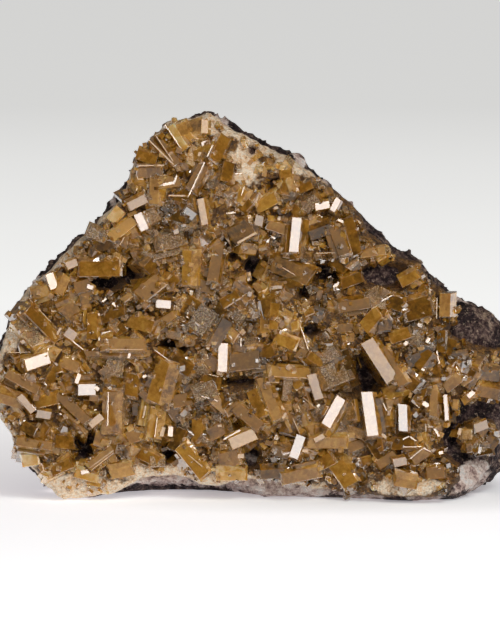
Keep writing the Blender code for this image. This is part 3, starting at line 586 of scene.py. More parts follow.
def layer_front(x, z):
    """The y of the barite layer's front: it sinks behind the rock's front where rock shows."""
    thickness = LAYER_THICKNESS + relief(x, z, LAYER_LUMPS, 9.0)
    thickness -= BARE_PATCH_SINK * patch_depth(x, z, BARE_PATCHES)
    return rock_front(x, z) - max(thickness, -LAYER_SUNK)


def layer_back(x, z):
    """The y of the barite layer's back, inside of the rock."""
    return rock_front(x, z) + LAYER_ROOT


def edge_distances(points, outline):
    """How far each (x, z) point is inside of the closed outline's nearest side."""
    starts = np.array([front_view(*corner) for corner in outline])
    sides = np.roll(starts, -1, axis=0) - starts
    away = points[:, None, :] - starts[None, :, :]
    along = (away * sides).sum(axis=2) / (sides * sides).sum(axis=1)
    nearest = np.clip(along, 0.0, 1.0)[..., None] * sides
    return np.sqrt(((away - nearest) ** 2).sum(axis=2)).min(axis=1)


def inside(x, z, outline):
    """Whether the point is inside of the closed outline."""
    corners = np.array([front_view(*corner) for corner in outline])
    following = np.roll(corners, -1, axis=0)
    above = (corners[:, 1] > z) != (following[:, 1] > z)
    rise = np.where(above, following[:, 1] - corners[:, 1], 1.0)
    crossing = corners[:, 0] + (z - corners[:, 1]) / rise * (following[:, 0] - corners[:, 0])
    return bool((above & (x < crossing)).sum() % 2)


def round_over(distance, radius):
    """How much of a full step is reached at this distance from a rounded edge: 0 at it, 1 past the radius."""
    short = 1.0 - min(distance / radius, 1.0)
    return math.sqrt(max(1.0 - short * short, 0.0))


def add_object(name, data):
    """A new object in the scene."""
    made = bpy.data.objects.new(name, data)
    bpy.context.scene.collection.objects.link(made)
    return made


def apply_modifiers(obj):
    """Bakes the object's modifiers into its mesh."""
    bpy.context.view_layer.update()
    graph = bpy.context.evaluated_depsgraph_get()
    mesh = bpy.data.meshes.new_from_object(obj.evaluated_get(graph))
    obj.modifiers.clear()
    old = obj.data
    obj.data = mesh
    bpy.data.meshes.remove(old)


def remesh(obj, voxel):
    """Rebuilds the object's mesh with even faces of this size."""
    modifier = obj.modifiers.new("Even faces", "REMESH")
    modifier.mode = "VOXEL"
    modifier.voxel_size = voxel
    modifier.use_smooth_shade = True
    apply_modifiers(obj)


def outline_slab(name, outline, half_thickness):
    """A flat closed outline, drawn in the front view, as a slab of this half thickness."""
    curve = bpy.data.curves.new(name, "CURVE")
    curve.dimensions = "2D"
    curve.fill_mode = "BOTH"
    curve.extrude = half_thickness
    spline = curve.splines.new("POLY")
    spline.points.add(len(outline) - 1)
    for point, corner in zip(spline.points, outline):
        x, z = front_view(*corner)
        point.co = (x, z, 0.0, 1.0)
    spline.use_cyclic_u = True
    drawn = add_object(name + "_outline", curve)
    drawn.rotation_euler = (math.radians(90.0), 0.0, 0.0)
    bpy.context.view_layer.update()
    graph = bpy.context.evaluated_depsgraph_get()
    mesh = bpy.data.meshes.new_from_object(drawn.evaluated_get(graph))
    mesh.transform(drawn.matrix_world)
    bpy.data.objects.remove(drawn)
    return add_object(name, mesh)


def mould(obj, half_thickness, outline, front, back, front_radius, back_radius):
    """Bends a slab's two faces to the front and back surfaces, with rounded edges."""
    points = np.array([vertex.co[:] for vertex in obj.data.vertices])
    distances = edge_distances(points[:, [0, 2]], outline)
    for vertex, distance in zip(obj.data.vertices, distances):
        x, y, z = vertex.co
        share = min(max(0.5 + 0.5 * y / half_thickness, 0.0), 1.0)
        near = front(x, z)
        far = back(x, z)
        middle = 0.5 * (near + far)
        near = middle + (near - middle) * round_over(distance + EDGE_START, front_radius)
        far = middle + (far - middle) * round_over(distance + EDGE_START, back_radius)
        vertex.co.y = near + (far - near) * share


def roughen(obj, lumps):
    """Moves each point by smooth noise, so that broken edges aren't straight."""
    size, height = lumps
    for vertex in obj.data.vertices:
        vertex.co += height * drift(vertex.co / size)


def set_values(obj, name, domain, values):
    """A number for each point or face, for a material to read."""
    attribute = obj.data.attributes.new(name, "FLOAT", domain)
    attribute.data.foreach_set("value", np.array(values, np.float32))


def linear(red, green, blue):
    """A colour from its screen values, 0 to 255, as the shader takes it."""
    parts = [value / 255.0 for value in (red, green, blue)]
    return [part / 12.92 if part <= 0.04045 else ((part + 0.055) / 1.055) ** 2.4 for part in parts] + [1.0]


# The turn of the angular patches inside of the crystals, in radians
BLOCKS_TURN = (0.4, 0.7, 0.3)


class Nodes:
    """Shorthand for building a material's node tree."""

    def __init__(self, name):
        self.material = bpy.data.materials.new(name)
        self.material.use_nodes = True
        self.tree = self.material.node_tree
        self.shader = self.tree.nodes["Principled BSDF"]

    def add(self, kind, inputs=(), **settings):
        """A new node with these settings. Its inputs get values, or links from other nodes."""
        node = self.tree.nodes.new(kind)
        for key, value in settings.items():
            setattr(node, key, value)
        for key, value in dict(inputs).items():
            self.give(node.inputs[key], value)
        return node

    def give(self, socket, value):
        """Gives a socket a value of its own, or a link from another socket."""
        if isinstance(value, bpy.types.NodeSocket):
            self.tree.links.new(value, socket)
        else:
            socket.default_value = value

    def feed(self, name, value):
        """Gives one of the shader's sockets a value or a link."""
        self.give(self.shader.inputs[name], value)

    def attribute(self, name):
        """The mesh's own values of this name."""
        return self.add("ShaderNodeAttribute", attribute_name=name).outputs["Fac"]

    def place(self):
        """The place on the object, in metres."""
        return self.add("ShaderNodeTexCoord").outputs["Object"]

    def noise(self, scale, detail=3.0, roughness=0.55):
        """Cloudy noise, whose scale is in lumps to the metre."""
        inputs = {"Vector": self.place(), "Scale": scale, "Detail": detail, "Roughness": roughness}
        return self.add("ShaderNodeTexNoise", inputs).outputs["Fac"]

    def cells(self, scale):
        """The distance from the middles of grains, whose scale is in grains to the metre."""
        return self.add("ShaderNodeTexVoronoi", {"Vector": self.place(), "Scale": scale}).outputs["Distance"]

    def blocks(self, scale):
        """Angular patches, each with a random value of its own."""
        turned = self.add("ShaderNodeMapping", {"Vector": self.place(), "Rotation": BLOCKS_TURN})
        inputs = {"Vector": turned.outputs["Vector"], "Scale": scale}
        cells = self.add("ShaderNodeTexVoronoi", inputs, distance="CHEBYCHEV")
        return self.add("ShaderNodeSeparateColor", {"Color": cells.outputs["Color"]}).outputs["Red"]

    def spread(self, value, low, high, to_low=0.0, to_high=1.0):
        """Maps low..high to to_low..to_high, clamped."""
        inputs = {"Value": value, "From Min": low, "From Max": high, "To Min": to_low, "To Max": to_high}
        return self.add("ShaderNodeMapRange", inputs).outputs["Result"]

    def times(self, first, second):
        """The product of two values."""
        return self.add("ShaderNodeMath", {0: first, 1: second}, operation="MULTIPLY").outputs["Value"]

    def total(self, *values):
        """The sum of two or more values."""
        added = values[0]
        for value in values[1:]:
            added = self.add("ShaderNodeMath", {0: added, 1: value}, operation="ADD").outputs["Value"]
        return added

    def ramp(self, value, stops):
        """A colour from a value by (place, colour) stops."""
        node = self.add("ShaderNodeValToRGB", {"Fac": value})
        elements = node.color_ramp.elements
        while len(elements) < len(stops):
            elements.new(1.0)
        for element, (place, colour) in zip(elements, stops):
            element.position = place
            element.color = colour
        return node.outputs["Color"]

    def mix(self, amount, first, second):
        """Colour mix: first where amount is 0, second where it is 1."""
        inputs = {"Factor": amount, 6: first, 7: second}
        return self.add("ShaderNodeMix", inputs, data_type="RGBA").outputs[2]

    def bump(self, height, strength, distance):
        """Fine relief on the material's surface."""
        inputs = {"Height": height, "Strength": strength, "Distance": distance}
        self.feed("Normal", self.add("ShaderNodeBump", inputs).outputs["Normal"])


def barite_material():
    """Clear to cloudy honey barite. Each face has a tone of its own, and some are frosted."""
    nodes = Nodes("Honey barite")
    tone = nodes.attribute("tone")
    frost = nodes.attribute("frost")
    depths = nodes.attribute("depths")
    veils = nodes.noise(1100.0, 5.0, 0.65)
    inner = nodes.total(
        nodes.spread(nodes.noise(220.0, 2.0), 0.3, 0.7, -0.16, 0.16),
        nodes.spread(nodes.blocks(380.0), 0.0, 1.0, -0.16, 0.16),
        nodes.spread(nodes.blocks(1000.0), 0.0, 1.0, -0.10, 0.10),
        nodes.spread(veils, 0.3, 0.7, -0.16, 0.16),
    )
    shade = nodes.total(tone, nodes.times(inner, depths))
    body = nodes.ramp(nodes.times(shade, 0.6), (
        (0.0, linear(30, 19, 3)),
        (0.21, linear(92, 62, 12)),
        (0.39, linear(156, 107, 27)),
        (0.60, linear(212, 162, 72)),
        (0.85, linear(246, 222, 178)),
    ))  # fmt: skip
    threads = nodes.times(depths, nodes.spread(veils, 0.60, 0.72, 0.0, 0.6))
    body = nodes.mix(threads, body, linear(224, 178, 96))
    sugar = nodes.ramp(nodes.noise(2200.0, 3.0, 0.8), (
        (0.38, linear(66, 46, 18)),
        (0.50, linear(138, 104, 60)),
        (0.62, linear(236, 210, 168)),
    ))  # fmt: skip
    frost = nodes.times(frost, nodes.spread(nodes.noise(300.0, 3.0), 0.35, 0.55, 0.35, 1.0))
    body = nodes.mix(nodes.times(frost, 0.85), body, sugar)
    nodes.feed("Base Color", body)
    nodes.feed("Roughness", nodes.spread(frost, 0.0, 1.0, 0.04, 0.28))
    nodes.feed("IOR", BARITE_INDEX)
    nodes.feed("Transmission Weight", CLEAR_SHARE)
    nodes.feed("Subsurface Weight", GLOW_SHARE)
    nodes.feed("Subsurface Radius", GLOW_COLOURS)
    nodes.feed("Subsurface Scale", GLOW_REACH)
    grains = nodes.total(nodes.cells(2600.0), nodes.noise(1500.0, 2.0))
    nodes.bump(grains, nodes.spread(frost, 0.0, 1.0, 0.01, 0.9), 0.0005)
    return nodes.material


def layer_material():
    """Massive barite: cream where the patches say, honey-brown elsewhere."""
    nodes = Nodes("Massive barite")
    cream = nodes.attribute("cream")
    clouds = nodes.noise(260.0, 6.0, 0.65)
    honey = nodes.ramp(nodes.noise(700.0, 5.0, 0.7), (
        (0.32, linear(40, 26, 8)),
        (0.50, linear(96, 62, 20)),
        (0.68, linear(168, 122, 54)),
    ))  # fmt: skip
    pale = nodes.ramp(nodes.noise(800.0, 6.0, 0.7), (
        (0.32, linear(166, 118, 72)),
        (0.42, linear(246, 208, 164)),
        (0.58, linear(255, 242, 220)),
    ))  # fmt: skip
    amount = nodes.spread(nodes.total(cream, nodes.spread(clouds, 0.3, 0.7, -0.4, 0.4)), 0.35, 0.65)
    nodes.feed("Base Color", nodes.mix(amount, honey, pale))
    nodes.feed("Roughness", nodes.spread(nodes.noise(1500.0), 0.3, 0.7, 0.35, 0.65))
    nodes.feed("IOR", BARITE_INDEX)
    nodes.bump(nodes.total(nodes.cells(1300.0), nodes.noise(2500.0, 4.0)), 1.0, 0.0008)
    return nodes.material


def rock_material():
    """Dark purple-brown host rock, with pale stone, specks and painted shade in its hollows."""
    nodes = Nodes("Host rock")
    pale = nodes.attribute("pale")
    coarse = nodes.total(
        nodes.noise(150.0, 4.0, 0.6),
        nodes.spread(nodes.noise(520.0, 4.0, 0.7), 0.3, 0.7, -0.16, 0.16),
        # Negative pale values are painted shade in the hollows: they darken the rock
        nodes.spread(pale, -0.8, 0.0, -0.16, 0.0),
    )
    dark = nodes.ramp(coarse, (
        (0.34, linear(30, 21, 26)),
        (0.47, linear(64, 47, 50)),
        (0.58, linear(120, 97, 92)),
        (0.72, linear(196, 172, 150)),
    ))  # fmt: skip
    grains = nodes.noise(950.0, 5.0, 0.8)
    dark = nodes.mix(nodes.spread(grains, 0.38, 0.50, 0.9, 0.0), dark, linear(20, 13, 16))
    dark = nodes.mix(nodes.spread(grains, 0.56, 0.64, 0.0, 0.9), dark, linear(216, 192, 168))
    light = nodes.ramp(nodes.noise(300.0, 6.0, 0.75), (
        (0.36, linear(112, 86, 84)),
        (0.45, linear(214, 186, 176)),
        (0.54, linear(255, 238, 228)),
        (0.66, linear(255, 252, 250)),
    ))  # fmt: skip
    amount = nodes.spread(nodes.total(pale, nodes.spread(coarse, 0.2, 0.8, -0.4, 0.4)), 0.4, 0.6)
    nodes.feed("Base Color", nodes.mix(amount, dark, light))
    nodes.feed("Roughness", nodes.spread(nodes.noise(900.0, 5.0, 0.7), 0.3, 0.7, 0.45, 0.85))
    nodes.feed("Specular IOR Level", 0.25)
    nodes.bump(nodes.total(nodes.cells(1000.0), nodes.times(grains, 1.5)), 1.0, 0.0009)
    return nodes.material


class Look(NamedTuple):
    """How a crystal looks: its tone, the frost on its front, sides and ends, and its depths.

    Depths are how much shows inside of the front, and inside of the rest.
    """

    tone: float
    frost: tuple
    depths: tuple = (1.0, 1.0)


class Blocks:
    """Crystal blocks gathered into one mesh of closed bodies."""

    def __init__(self):
        self.points = []
        self.faces = []
        self.values = {"tone": [], "frost": [], "depths": []}

    def add(self, face, axes, size, look, facets, end_cut=0.0, skew=0.0):
        """A block behind its front face, with a sloping facet along each long side of the face.

        facets are the two facets' widths, and end_cut is how much is cut off the ends' front edges.
        """
        along, across, out = axes
        length, width, depth = size
        lower, upper = facets
        start = len(self.points)
        ring = (
            (-width / 2, 0.0), (width / 2, 0.0), (width / 2 + upper * FACET_REACH, -upper),
            (width / 2 + upper * FACET_REACH, -depth), (-width / 2 - lower * FACET_REACH, -depth),
            (-width / 2 - lower * FACET_REACH, -lower),
        )  # fmt: skip
        for end in (-1.0, 1.0):
            for side, rise in ring:
                reach = end * (length / 2 - (end_cut if rise == 0.0 else 0.0)) + skew * side
                point = face + along * reach + across * side + out * rise
                point.z = max(point.z, FLOOR_GAP)
                self.points.append(point)
        low = [start + i for i in range(6)]
        high = [corner + 6 for corner in low]
        sides = [(low[i], low[(i + 1) % 6], high[(i + 1) % 6], high[i]) for i in range(6)]
        front, flank, tip = look.frost
        depths = (look.depths[0],) + 5 * (look.depths[1],)
        frosts = (front, front, flank, flank, flank, front)
        # Painted light and shade: each side of the block gets a tone shift of its own
        for quad, shade, frost, inner in zip(sides, PAINTED_FACE_SHADES, frosts, depths):
            self.keep(quad, look.tone + shade, frost, inner)
        # The ends get painted shade too
        for corners, turned in ((low, True), (high, False)):
            flat = (corners[2], corners[3], corners[4], corners[5])
            slope = (corners[0], corners[1], corners[2], corners[5])
            for quad in (flat, slope):
                self.keep(quad[::-1] if turned else quad, look.tone + PAINTED_END_SHADE, tip, look.depths[1])

    def keep(self, quad, *values):
        """Keeps a face with its tone, frost and depths."""
        self.faces.append(quad)
        for kept, value in zip(self.values.values(), values):
            kept.append(value)

    def to_object(self, name, material):
        """All of the blocks as one object."""
        mesh = bpy.data.meshes.new(name)
        mesh.from_pydata(self.points, [], self.faces)
        made = add_object(name, mesh)
        for key, values in self.values.items():
            set_values(made, key, "FACE", values)
        mesh.materials.append(material)
        return made


def crystal_axes(look, turn):
    """The crystal's length, width and depth directions, and the stretch that keeps its face in the view."""
    angle = math.radians(turn)
    flat_x = math.cos(angle)
    flat_z = math.sin(angle)
    along = Vector((flat_x, -(look.x * flat_x + look.z * flat_z) / look.y, flat_z))
    across = look.cross(along).normalized()
    stretch = (along.length, 1.0 / math.hypot(across.x, across.z))
    return (along.normalized(), across, look), stretch


def lamp_place(lamp):
    """Where the lamp stands."""
    return LIT_CENTRE + Vector(lamp.direction).normalized() * lamp.distance


def camera_place():
    """Where the camera stands."""
    rise = math.radians(CAMERA_RISE)
    height = (PICTURE_FOOT_ROW - PICTURE_ROWS / 2) * VIEW_STEP / math.cos(rise)
    target = Vector(((PICTURE_COLUMNS / 2 - MIDDLE_COLUMN) * VIEW_STEP, 0.0, height))
    return target + CAMERA_DISTANCE * Vector((0.0, -math.cos(rise), math.sin(rise)))


def key_mirror(place):
    """The way that a face in this place looks when it mirrors the key light to the front."""
    to_key = (lamp_place(LAMPS["Key"]) - place).normalized()
    return (to_key + (camera_place() - place).normalized()).normalized()


def facing_direction(crystal, dice):
    """The way that the crystal's front face looks, a few degrees off its group's."""
    x, z = front_view(crystal.column, crystal.row)
    place = Vector((x, leaning_plane(z), z))
    spread = SHINING_STRAY if is_shining(crystal) else PLAIN_STRAY
    stray = Vector((dice.uniform(-spread, spread), 0.0, dice.uniform(-spread, spread)))
    if crystal.facing == "bright":
        return (key_mirror(place) + stray).normalized()
    if crystal.facing == "dim":
        tilt = Quaternion((1.0, 0.0, 0.0), math.radians(DIM_TILT))
        return (tilt @ key_mirror(place) + stray).normalized()
    return clear_of_key(Vector(FACINGS[crystal.facing]) + stray, place).normalized()


def is_shining(crystal):
    """Whether the crystal's front face shows the key light or its rim."""
    return crystal.facing in ("bright", "dim")


def clear_of_key(look, place):
    """Turns a face's direction away from the one that mirrors the key light, if it is close to that."""
    bright = key_mirror(place)
    angle = math.degrees(bright.angle(look))
    if angle >= KEY_CLEARANCE:
        return look
    return Quaternion(bright.cross(look), math.radians(KEY_CLEARANCE - angle)) @ look


def frost_by(dice, power):
    """How frosted a face is: seldom much, and the more seldom the higher the power."""
    return dice.random() ** power


def stand_crystal(blocks, crystal, dice, looks):
    """One of the large crystals, where its solid stands, with growth steps on its front."""
    shining = is_shining(crystal)
    axes, stretch = crystal_axes(facing_direction(crystal, dice), crystal.turn)
    proud = PROUD_LEAST + PROUD_PER_LENGTH * crystal.length * MM
    if shining:
        proud += BRIGHT_EXTRA + BRIGHT_LIFT
    depth = DEPTH_LEAST + DEPTH_PER_LENGTH * crystal.length * MM
    length = crystal.length * MM * stretch[0]
    width = crystal.width * MM * stretch[1]
    x, z = front_view(crystal.column, crystal.row)
    if z < FOOT_HEIGHT:
        depth *= FOOT_DEPTH_SHARE
    y = rock_front(x, z) - LAYER_THICKNESS - proud
    face = Vector((x, y, z + VIEW_RISE * (leaning_plane(z) - y)))
    tone = local_tone(x, z) + CREAMIER * patch_depth(x, z, CREAM_PATCHES)
    tone += looks.uniform(-TONE_STRAY, TONE_STRAY)
    if is_near(crystal, LIGHT_PLACES):
        tone += LIGHTER
    elif is_near(crystal, DARK_PLACES):
        tone -= DARKER
    frost = [0.0, frost_by(looks, FROST_POWER), frost_by(looks, FROST_POWER)]
    if not shining and is_near(crystal, FROSTED_PLACES):
        frost[0] = 1.0
    narrow = width * looks.uniform(*NARROW_FACET)
    broad = width * looks.uniform(*BROAD_FACET)
    end_cut = width * looks.uniform(*END_CUT)
    up = 1.0 if crystal.turn < STEEP_TURN else -1.0
    if crystal.width > WIDE_FACE and not shining:
        share = looks.uniform(*FACET_SHARE)
        broad = width * share / FACET_REACH
        face -= axes[1] * width * up * share / 2
        width *= 1.0 - share
        end_cut = width * looks.uniform(*WIDE_END_CUT)
    facets = (narrow, broad) if up > 0.0 else (broad, narrow)
    skew = looks.uniform(-SKEW, SKEW)
    front = CLEAR_DEPTHS if shining or crystal.facing == "high" else FRONT_DEPTHS
    look = Look(tone, frost, (front, 1.0))
    size = (length, width, depth)
    blocks.add(face, axes, size, look, facets, end_cut, skew)
    if crystal.length >= STEPPED_LENGTH:
        add_steps(blocks, face, axes, size, look, narrow, skew, shining, looks)


def add_steps(blocks, face, axes, size, look, facet, skew, shining, dice):
    """Growth steps: lower blocks on a crystal's front, and beside it where the crystal shines."""
    along, across, out = axes
    length, width, depth = size
    for _ in range(dice.choice(STEP_COUNTS)):
        share = dice.uniform(*STEP_LENGTHS)
        part = dice.uniform(*STEP_WIDTHS)
        sink = dice.uniform(*STEP_SINKS)
        shift = along * length * dice.uniform(-STEP_SHIFT, STEP_SHIFT)
        shift += across * width * dice.choice((-1.0, 1.0)) * dice.uniform(*STEP_ASIDE)
        if shining:
            shift += across * width * math.copysign(SHINING_ASIDE, shift.dot(across))
        step = (length * share, width * part, depth * STEP_DEPTH)
        corner = face + shift
        reaches = [(end, side) for end in (-0.5, 0.0, 0.5) for side in (-0.5, 0.5)]
        edges = [corner + along * step[0] * end + across * step[1] * side for end, side in reaches]
        spots = [plate_spot(edge) for edge in edges]
        if not all(inside(*spot, LAYER_OUTLINE) for spot in spots):
            continue
        if not shining and any(hides_bright(*spot) for spot in spots):
            continue
        if any(patch_depth(*spot, BARE_PATCHES) > STEP_BARE for spot in spots):
            continue
        shade = look.tone + dice.uniform(*STEP_SHADES)
        turned = axes
        if shining:
            turned = aside(axes, dice.choice((-1.0, 1.0)) * dice.uniform(*STEP_TURNS))
        step_look = look._replace(tone=shade)
        blocks.add(corner - out * sink, turned, step, step_look, (facet, facet), 0.0, skew)


def local_tone(x, z):
    """How light the barite is around this place: neighbours are alike."""
    lighter = LEFT_LIGHTER * ease((LEFT_START - x) / LIGHTER_FADE)
    lighter += TOP_LIGHTER * ease((z - TOP_START) / LIGHTER_FADE)
    return PLAIN_TONE + lighter + relief(x, z, TONE_LUMPS, 4.0)


def aside(axes, angle):
    """The axes turned about the crystal's length, in degrees."""
    along, across, out = axes
    turn = Quaternion(along, math.radians(angle))
    return along, turn @ across, turn @ out


def plate_spot(place):
    """The x and z on the plate's leaning front that this place hides from the camera."""
    return place.x, place.z - VIEW_RISE * (leaning_plane(place.z) - place.y)


def hides_bright(x, z):
    """Whether the place in the front view is in one of the bright faces, or close to its sides."""
    for crystal in CRYSTALS:
        if not is_shining(crystal):
            continue
        centre_x, centre_z = front_view(crystal.column, crystal.row)
        angle = math.radians(crystal.turn)
        along = (x - centre_x) * math.cos(angle) + (z - centre_z) * math.sin(angle)
        across = (z - centre_z) * math.cos(angle) - (x - centre_x) * math.sin(angle)
        half_width = (crystal.width * 0.5 + CLEAR_SIDE) * MM
        if abs(along) < crystal.length * CLEAR_LENGTHS * MM and abs(across) < half_width:
            return True
    return False


def is_near(crystal, places):
    """Whether the crystal's middle is one of these places in the front view, or close to it."""
    return any(math.hypot(crystal.column - column, crystal.row - row) < NEAR for column, row in places)


def fill_crystals(blocks, fill, dice, outline=LAYER_OUTLINE):
    """Small crystals all over the layer, few of them where rock shows."""
    columns, rows = zip(*outline)
    made = 0
    while made < fill.count:
        x, z = front_view(dice.uniform(min(columns), max(columns)), dice.uniform(min(rows), max(rows)))
        margin = edge_distances(np.array([(x, z)]), outline)[0]
        if not inside(x, z, outline) or margin < fill.longest * fill.inset * MM:
            continue
        large = fill.longest > WIDE_FACE
        if large and hides_bright(x, z):
            continue
        if patch_depth(x, z, BARE_PATCHES) > dice.uniform(*FILL_BARE):
            continue
        cream = patch_depth(x, z, CREAM_PATCHES)
        if cream > FILL_CREAM and (large or dice.random() < FILL_CREAM_LEFT_OUT):
            continue
        length = dice.uniform(fill.shortest, fill.longest) * MM
        width = length * dice.uniform(*FILL_WIDTHS)
        y = layer_front(x, z) - fill.proud * dice.uniform(*FILL_PROUD)
        face = Vector((x, y, max(z, FILL_LEAST_HEIGHT)))
        way = Vector((dice.gauss(0.0, fill.tilt), -1.0, dice.gauss(0.0, fill.tilt)))
        way = clear_of_key(way, face).normalized()
        axes, _ = crystal_axes(way, dice.uniform(-90.0, 90.0))
        if cream > FILL_CLEAR_CREAM:
            tone = dice.uniform(*FILL_CREAM_TONES)
        else:
            tone = local_tone(x, z) + dice.uniform(-FILL_STRAY, FILL_STRAY)
        frost = [frost_by(dice, FILL_FROST_POWER) for _ in range(3)]
        facets = (width * dice.uniform(*FILL_FACETS), width * dice.uniform(*FILL_FACETS))
        end_cut = width * dice.uniform(*FILL_END_CUT)
        size = (length, width, length * FILL_DEPTH)
        skew = dice.uniform(-FILL_SKEW, FILL_SKEW)
        blocks.add(face, axes, size, Look(tone, frost, FILL_DEPTHS), facets, end_cut, skew)
        made += 1


def surface_tree(obj):
    """The object's faces, for casting rays at."""
    points = [vertex.co for vertex in obj.data.vertices]
    return BVHTree.FromPolygons(points, [face.vertices for face in obj.data.polygons])


def spark_crystals(blocks, grounds, dice):
    """Small shining faces and edges, just in front of what the camera sees in their places."""
    trees = [surface_tree(ground) for ground in grounds]
    away = Vector((0.0, 1.0, -VIEW_RISE)).normalized()
    for spark in SPARKS:
        axes, stretch = crystal_axes(facing_direction(spark, dice), spark.turn)
        length = spark.length * MM * stretch[0]
        width = spark.width * MM * stretch[1]
        x, z = front_view(spark.column, spark.row)
        middle = Vector((x, leaning_plane(z), z)) - away * RAY_START
        starts = [middle + axes[0] * length * reach for reach in SPARK_REACHES]
        hits = [tree.ray_cast(start, away)[3] for tree in trees for start in starts]
        nearest = min(hit for hit in hits if hit is not None)
        face = middle + away * (nearest - SPARK_LIFT)
        look = Look(SPARK_TONE, (0.0, 0.0, 0.0), SPARK_DEPTHS)
        facet = width * SPARK_FACET
        blocks.add(face, axes, (length, width, SPARK_DEPTH), look, (facet, facet))


def druse_crystals(blocks, grounds, count, dice):
    """Very small crystals on what stands on the plate, few of them on the faces that look to the front."""
    trees = [surface_tree(ground) for ground in grounds]
    made = 0
    while made < count:
        x, z = front_view(dice.uniform(*DRUSE_COLUMNS), dice.uniform(*DRUSE_ROWS))
        if not inside(x, z, LAYER_OUTLINE):
            continue
        slants = dice.uniform(-DRUSE_SLANT, DRUSE_SLANT), dice.uniform(-DRUSE_SLANT, DRUSE_SLANT)
        slope = Vector((slants[0], 1.0, slants[1])).normalized()
        start = Vector((x, leaning_plane(z), z)) - slope * RAY_START
        hits = [tree.ray_cast(start, slope) for tree in trees]
        hits = [hit for hit in hits if hit[0] is not None]
        if not hits:
            continue
        place, normal, _, _ = min(hits, key=lambda hit: hit[3])
        if normal.y < DRUSE_FACING_FRONT or place.z < DRUSE_LEAST_HEIGHT:
            continue
        if patch_depth(x, z, BARE_PATCHES) > DRUSE_BARE or patch_depth(x, z, CREAM_PATCHES) > DRUSE_CREAM:
            continue
        if hides_bright(*plate_spot(place)):
            continue
        length = dice.uniform(*DRUSE_LENGTHS) * MM
        width = length * dice.uniform(*DRUSE_WIDTHS)
        way = normal + Vector([dice.gauss(0.0, DRUSE_TILT) for _ in range(3)]) + DRUSE_FORWARD
        way = clear_of_key(way.normalized(), place)
        if way.y > DRUSE_LEAST_FRONT:
            continue
        axes, _ = crystal_axes(way, dice.uniform(-90.0, 90.0))
        tone = local_tone(x, z) + dice.uniform(*DRUSE_TONES)
        frost = [frost_by(dice, DRUSE_FROST_POWER) for _ in range(3)]
        face = place + way * length * dice.uniform(*DRUSE_PROUD)
        facet = width * DRUSE_FACET
        blocks.add(face, axes, (length, width, length * DRUSE_DEPTH), Look(tone, frost), (facet, facet))
        made += 1


def soften_edges(obj, width):
    """Very small bevels, so that the crystals' edges catch the light."""
    modifier = obj.modifiers.new("Edges", "BEVEL")
    modifier.width = width
    modifier.segments = 1
    modifier.limit_method = "ANGLE"
    modifier.angle_limit = math.radians(EDGE_ANGLE)
    modifier.use_clamp_overlap = True
    apply_modifiers(obj)


def dress(piece, node):
    """Says what the piece moves with, and hides the solid that it stands for."""
    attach(piece, "root")
    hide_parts(node)


def chip(place, size, height):
    """The height of flat, tilted chips with steps between them, as broken rock has."""
    scaled = place / size
    nearest = noise.voronoi(scaled)[1][0]
    tilt = drift(nearest * 3.7)
    return height * (CHIP_STEP * noise.noise(nearest * 5.1) + CHIP_TILT * (scaled - nearest).dot(tilt))


def pale_stone_and_hollow_shade(place):
    """How pale the rock is in this place. Hollows get painted shade, darker than the rest."""
    moved = place + PALE_WAVER[1] * drift(place / PALE_WAVER[0])
    fade = ease((PALE_END - moved.y) / PALE_FADE)
    bare = patch_depth(place.x, place.z, BARE_PATCHES)
    return fade * (patch_depth(moved.x, moved.z, PALE_PATCHES) - PAINTED_HOLLOW_SHADE * bare)


def make_rock():
    """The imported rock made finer, with a rough surface."""
    rock = add_object("host_rock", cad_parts["matrix"].data.copy())
    remesh(rock, ROCK_VOXEL)
    normals = [vertex.normal.copy() for vertex in rock.data.vertices]
    pale = []
    for vertex, normal in zip(rock.data.vertices, normals):
        place = vertex.co.copy()
        pale.append(pale_stone_and_hollow_shade(place))
        if place.z < FLOOR_GAP:
            continue
        rough = GRAIN_HEIGHT * noise.fractal(place * GRAINS_PER_METRE, 0.6, 2.1, 4)
        chips = sum(chip(place, *lumps) for lumps in ROCK_CHIPS)
        trim = TRIM_DEPTH * patch_depth(place.x, place.z, ROCK_TRIMS)
        vertex.co += normal * (rough + chips - trim) * min(1.0, place.z / CALM_FOOT)
    # The pale values hold the painted shade of the hollows as negative values
    set_values(rock, "pale", "POINT", pale)
    rock.data.materials.clear()
    rock.data.materials.append(rock_material())
    dress(rock, "matrix")


def make_layer(name, outline, material, node):
    """The massive barite that the crystals grow from, inside of this outline."""
    layer = outline_slab(name, outline, SLAB_HALF)
    remesh(layer, LAYER_VOXEL)
    mould(layer, SLAB_HALF, outline, layer_front, layer_back, LAYER_FRONT_RADIUS, LAYER_BACK_RADIUS)
    roughen(layer, LAYER_CRUMBLE)
    roughen(layer, FINE_CRUMBLE)
    cream = []
    distances = edge_distances(np.array([(v.co.x, v.co.z) for v in layer.data.vertices]), outline)
    for vertex, distance in zip(layer.data.vertices, distances):
        vertex.co.z = max(vertex.co.z, FLOOR_GAP)
        edge = ease(1.0 - distance / CREAM_EDGE) * ease((CREAM_EDGE_END - vertex.co.x) / CREAM_EDGE_FADE)
        cream.append(max(patch_depth(vertex.co.x, vertex.co.z, CREAM_PATCHES), edge))
    set_values(layer, "cream", "POINT", cream)
    layer.data.materials.append(material)
    dress(layer, node)
    return layer


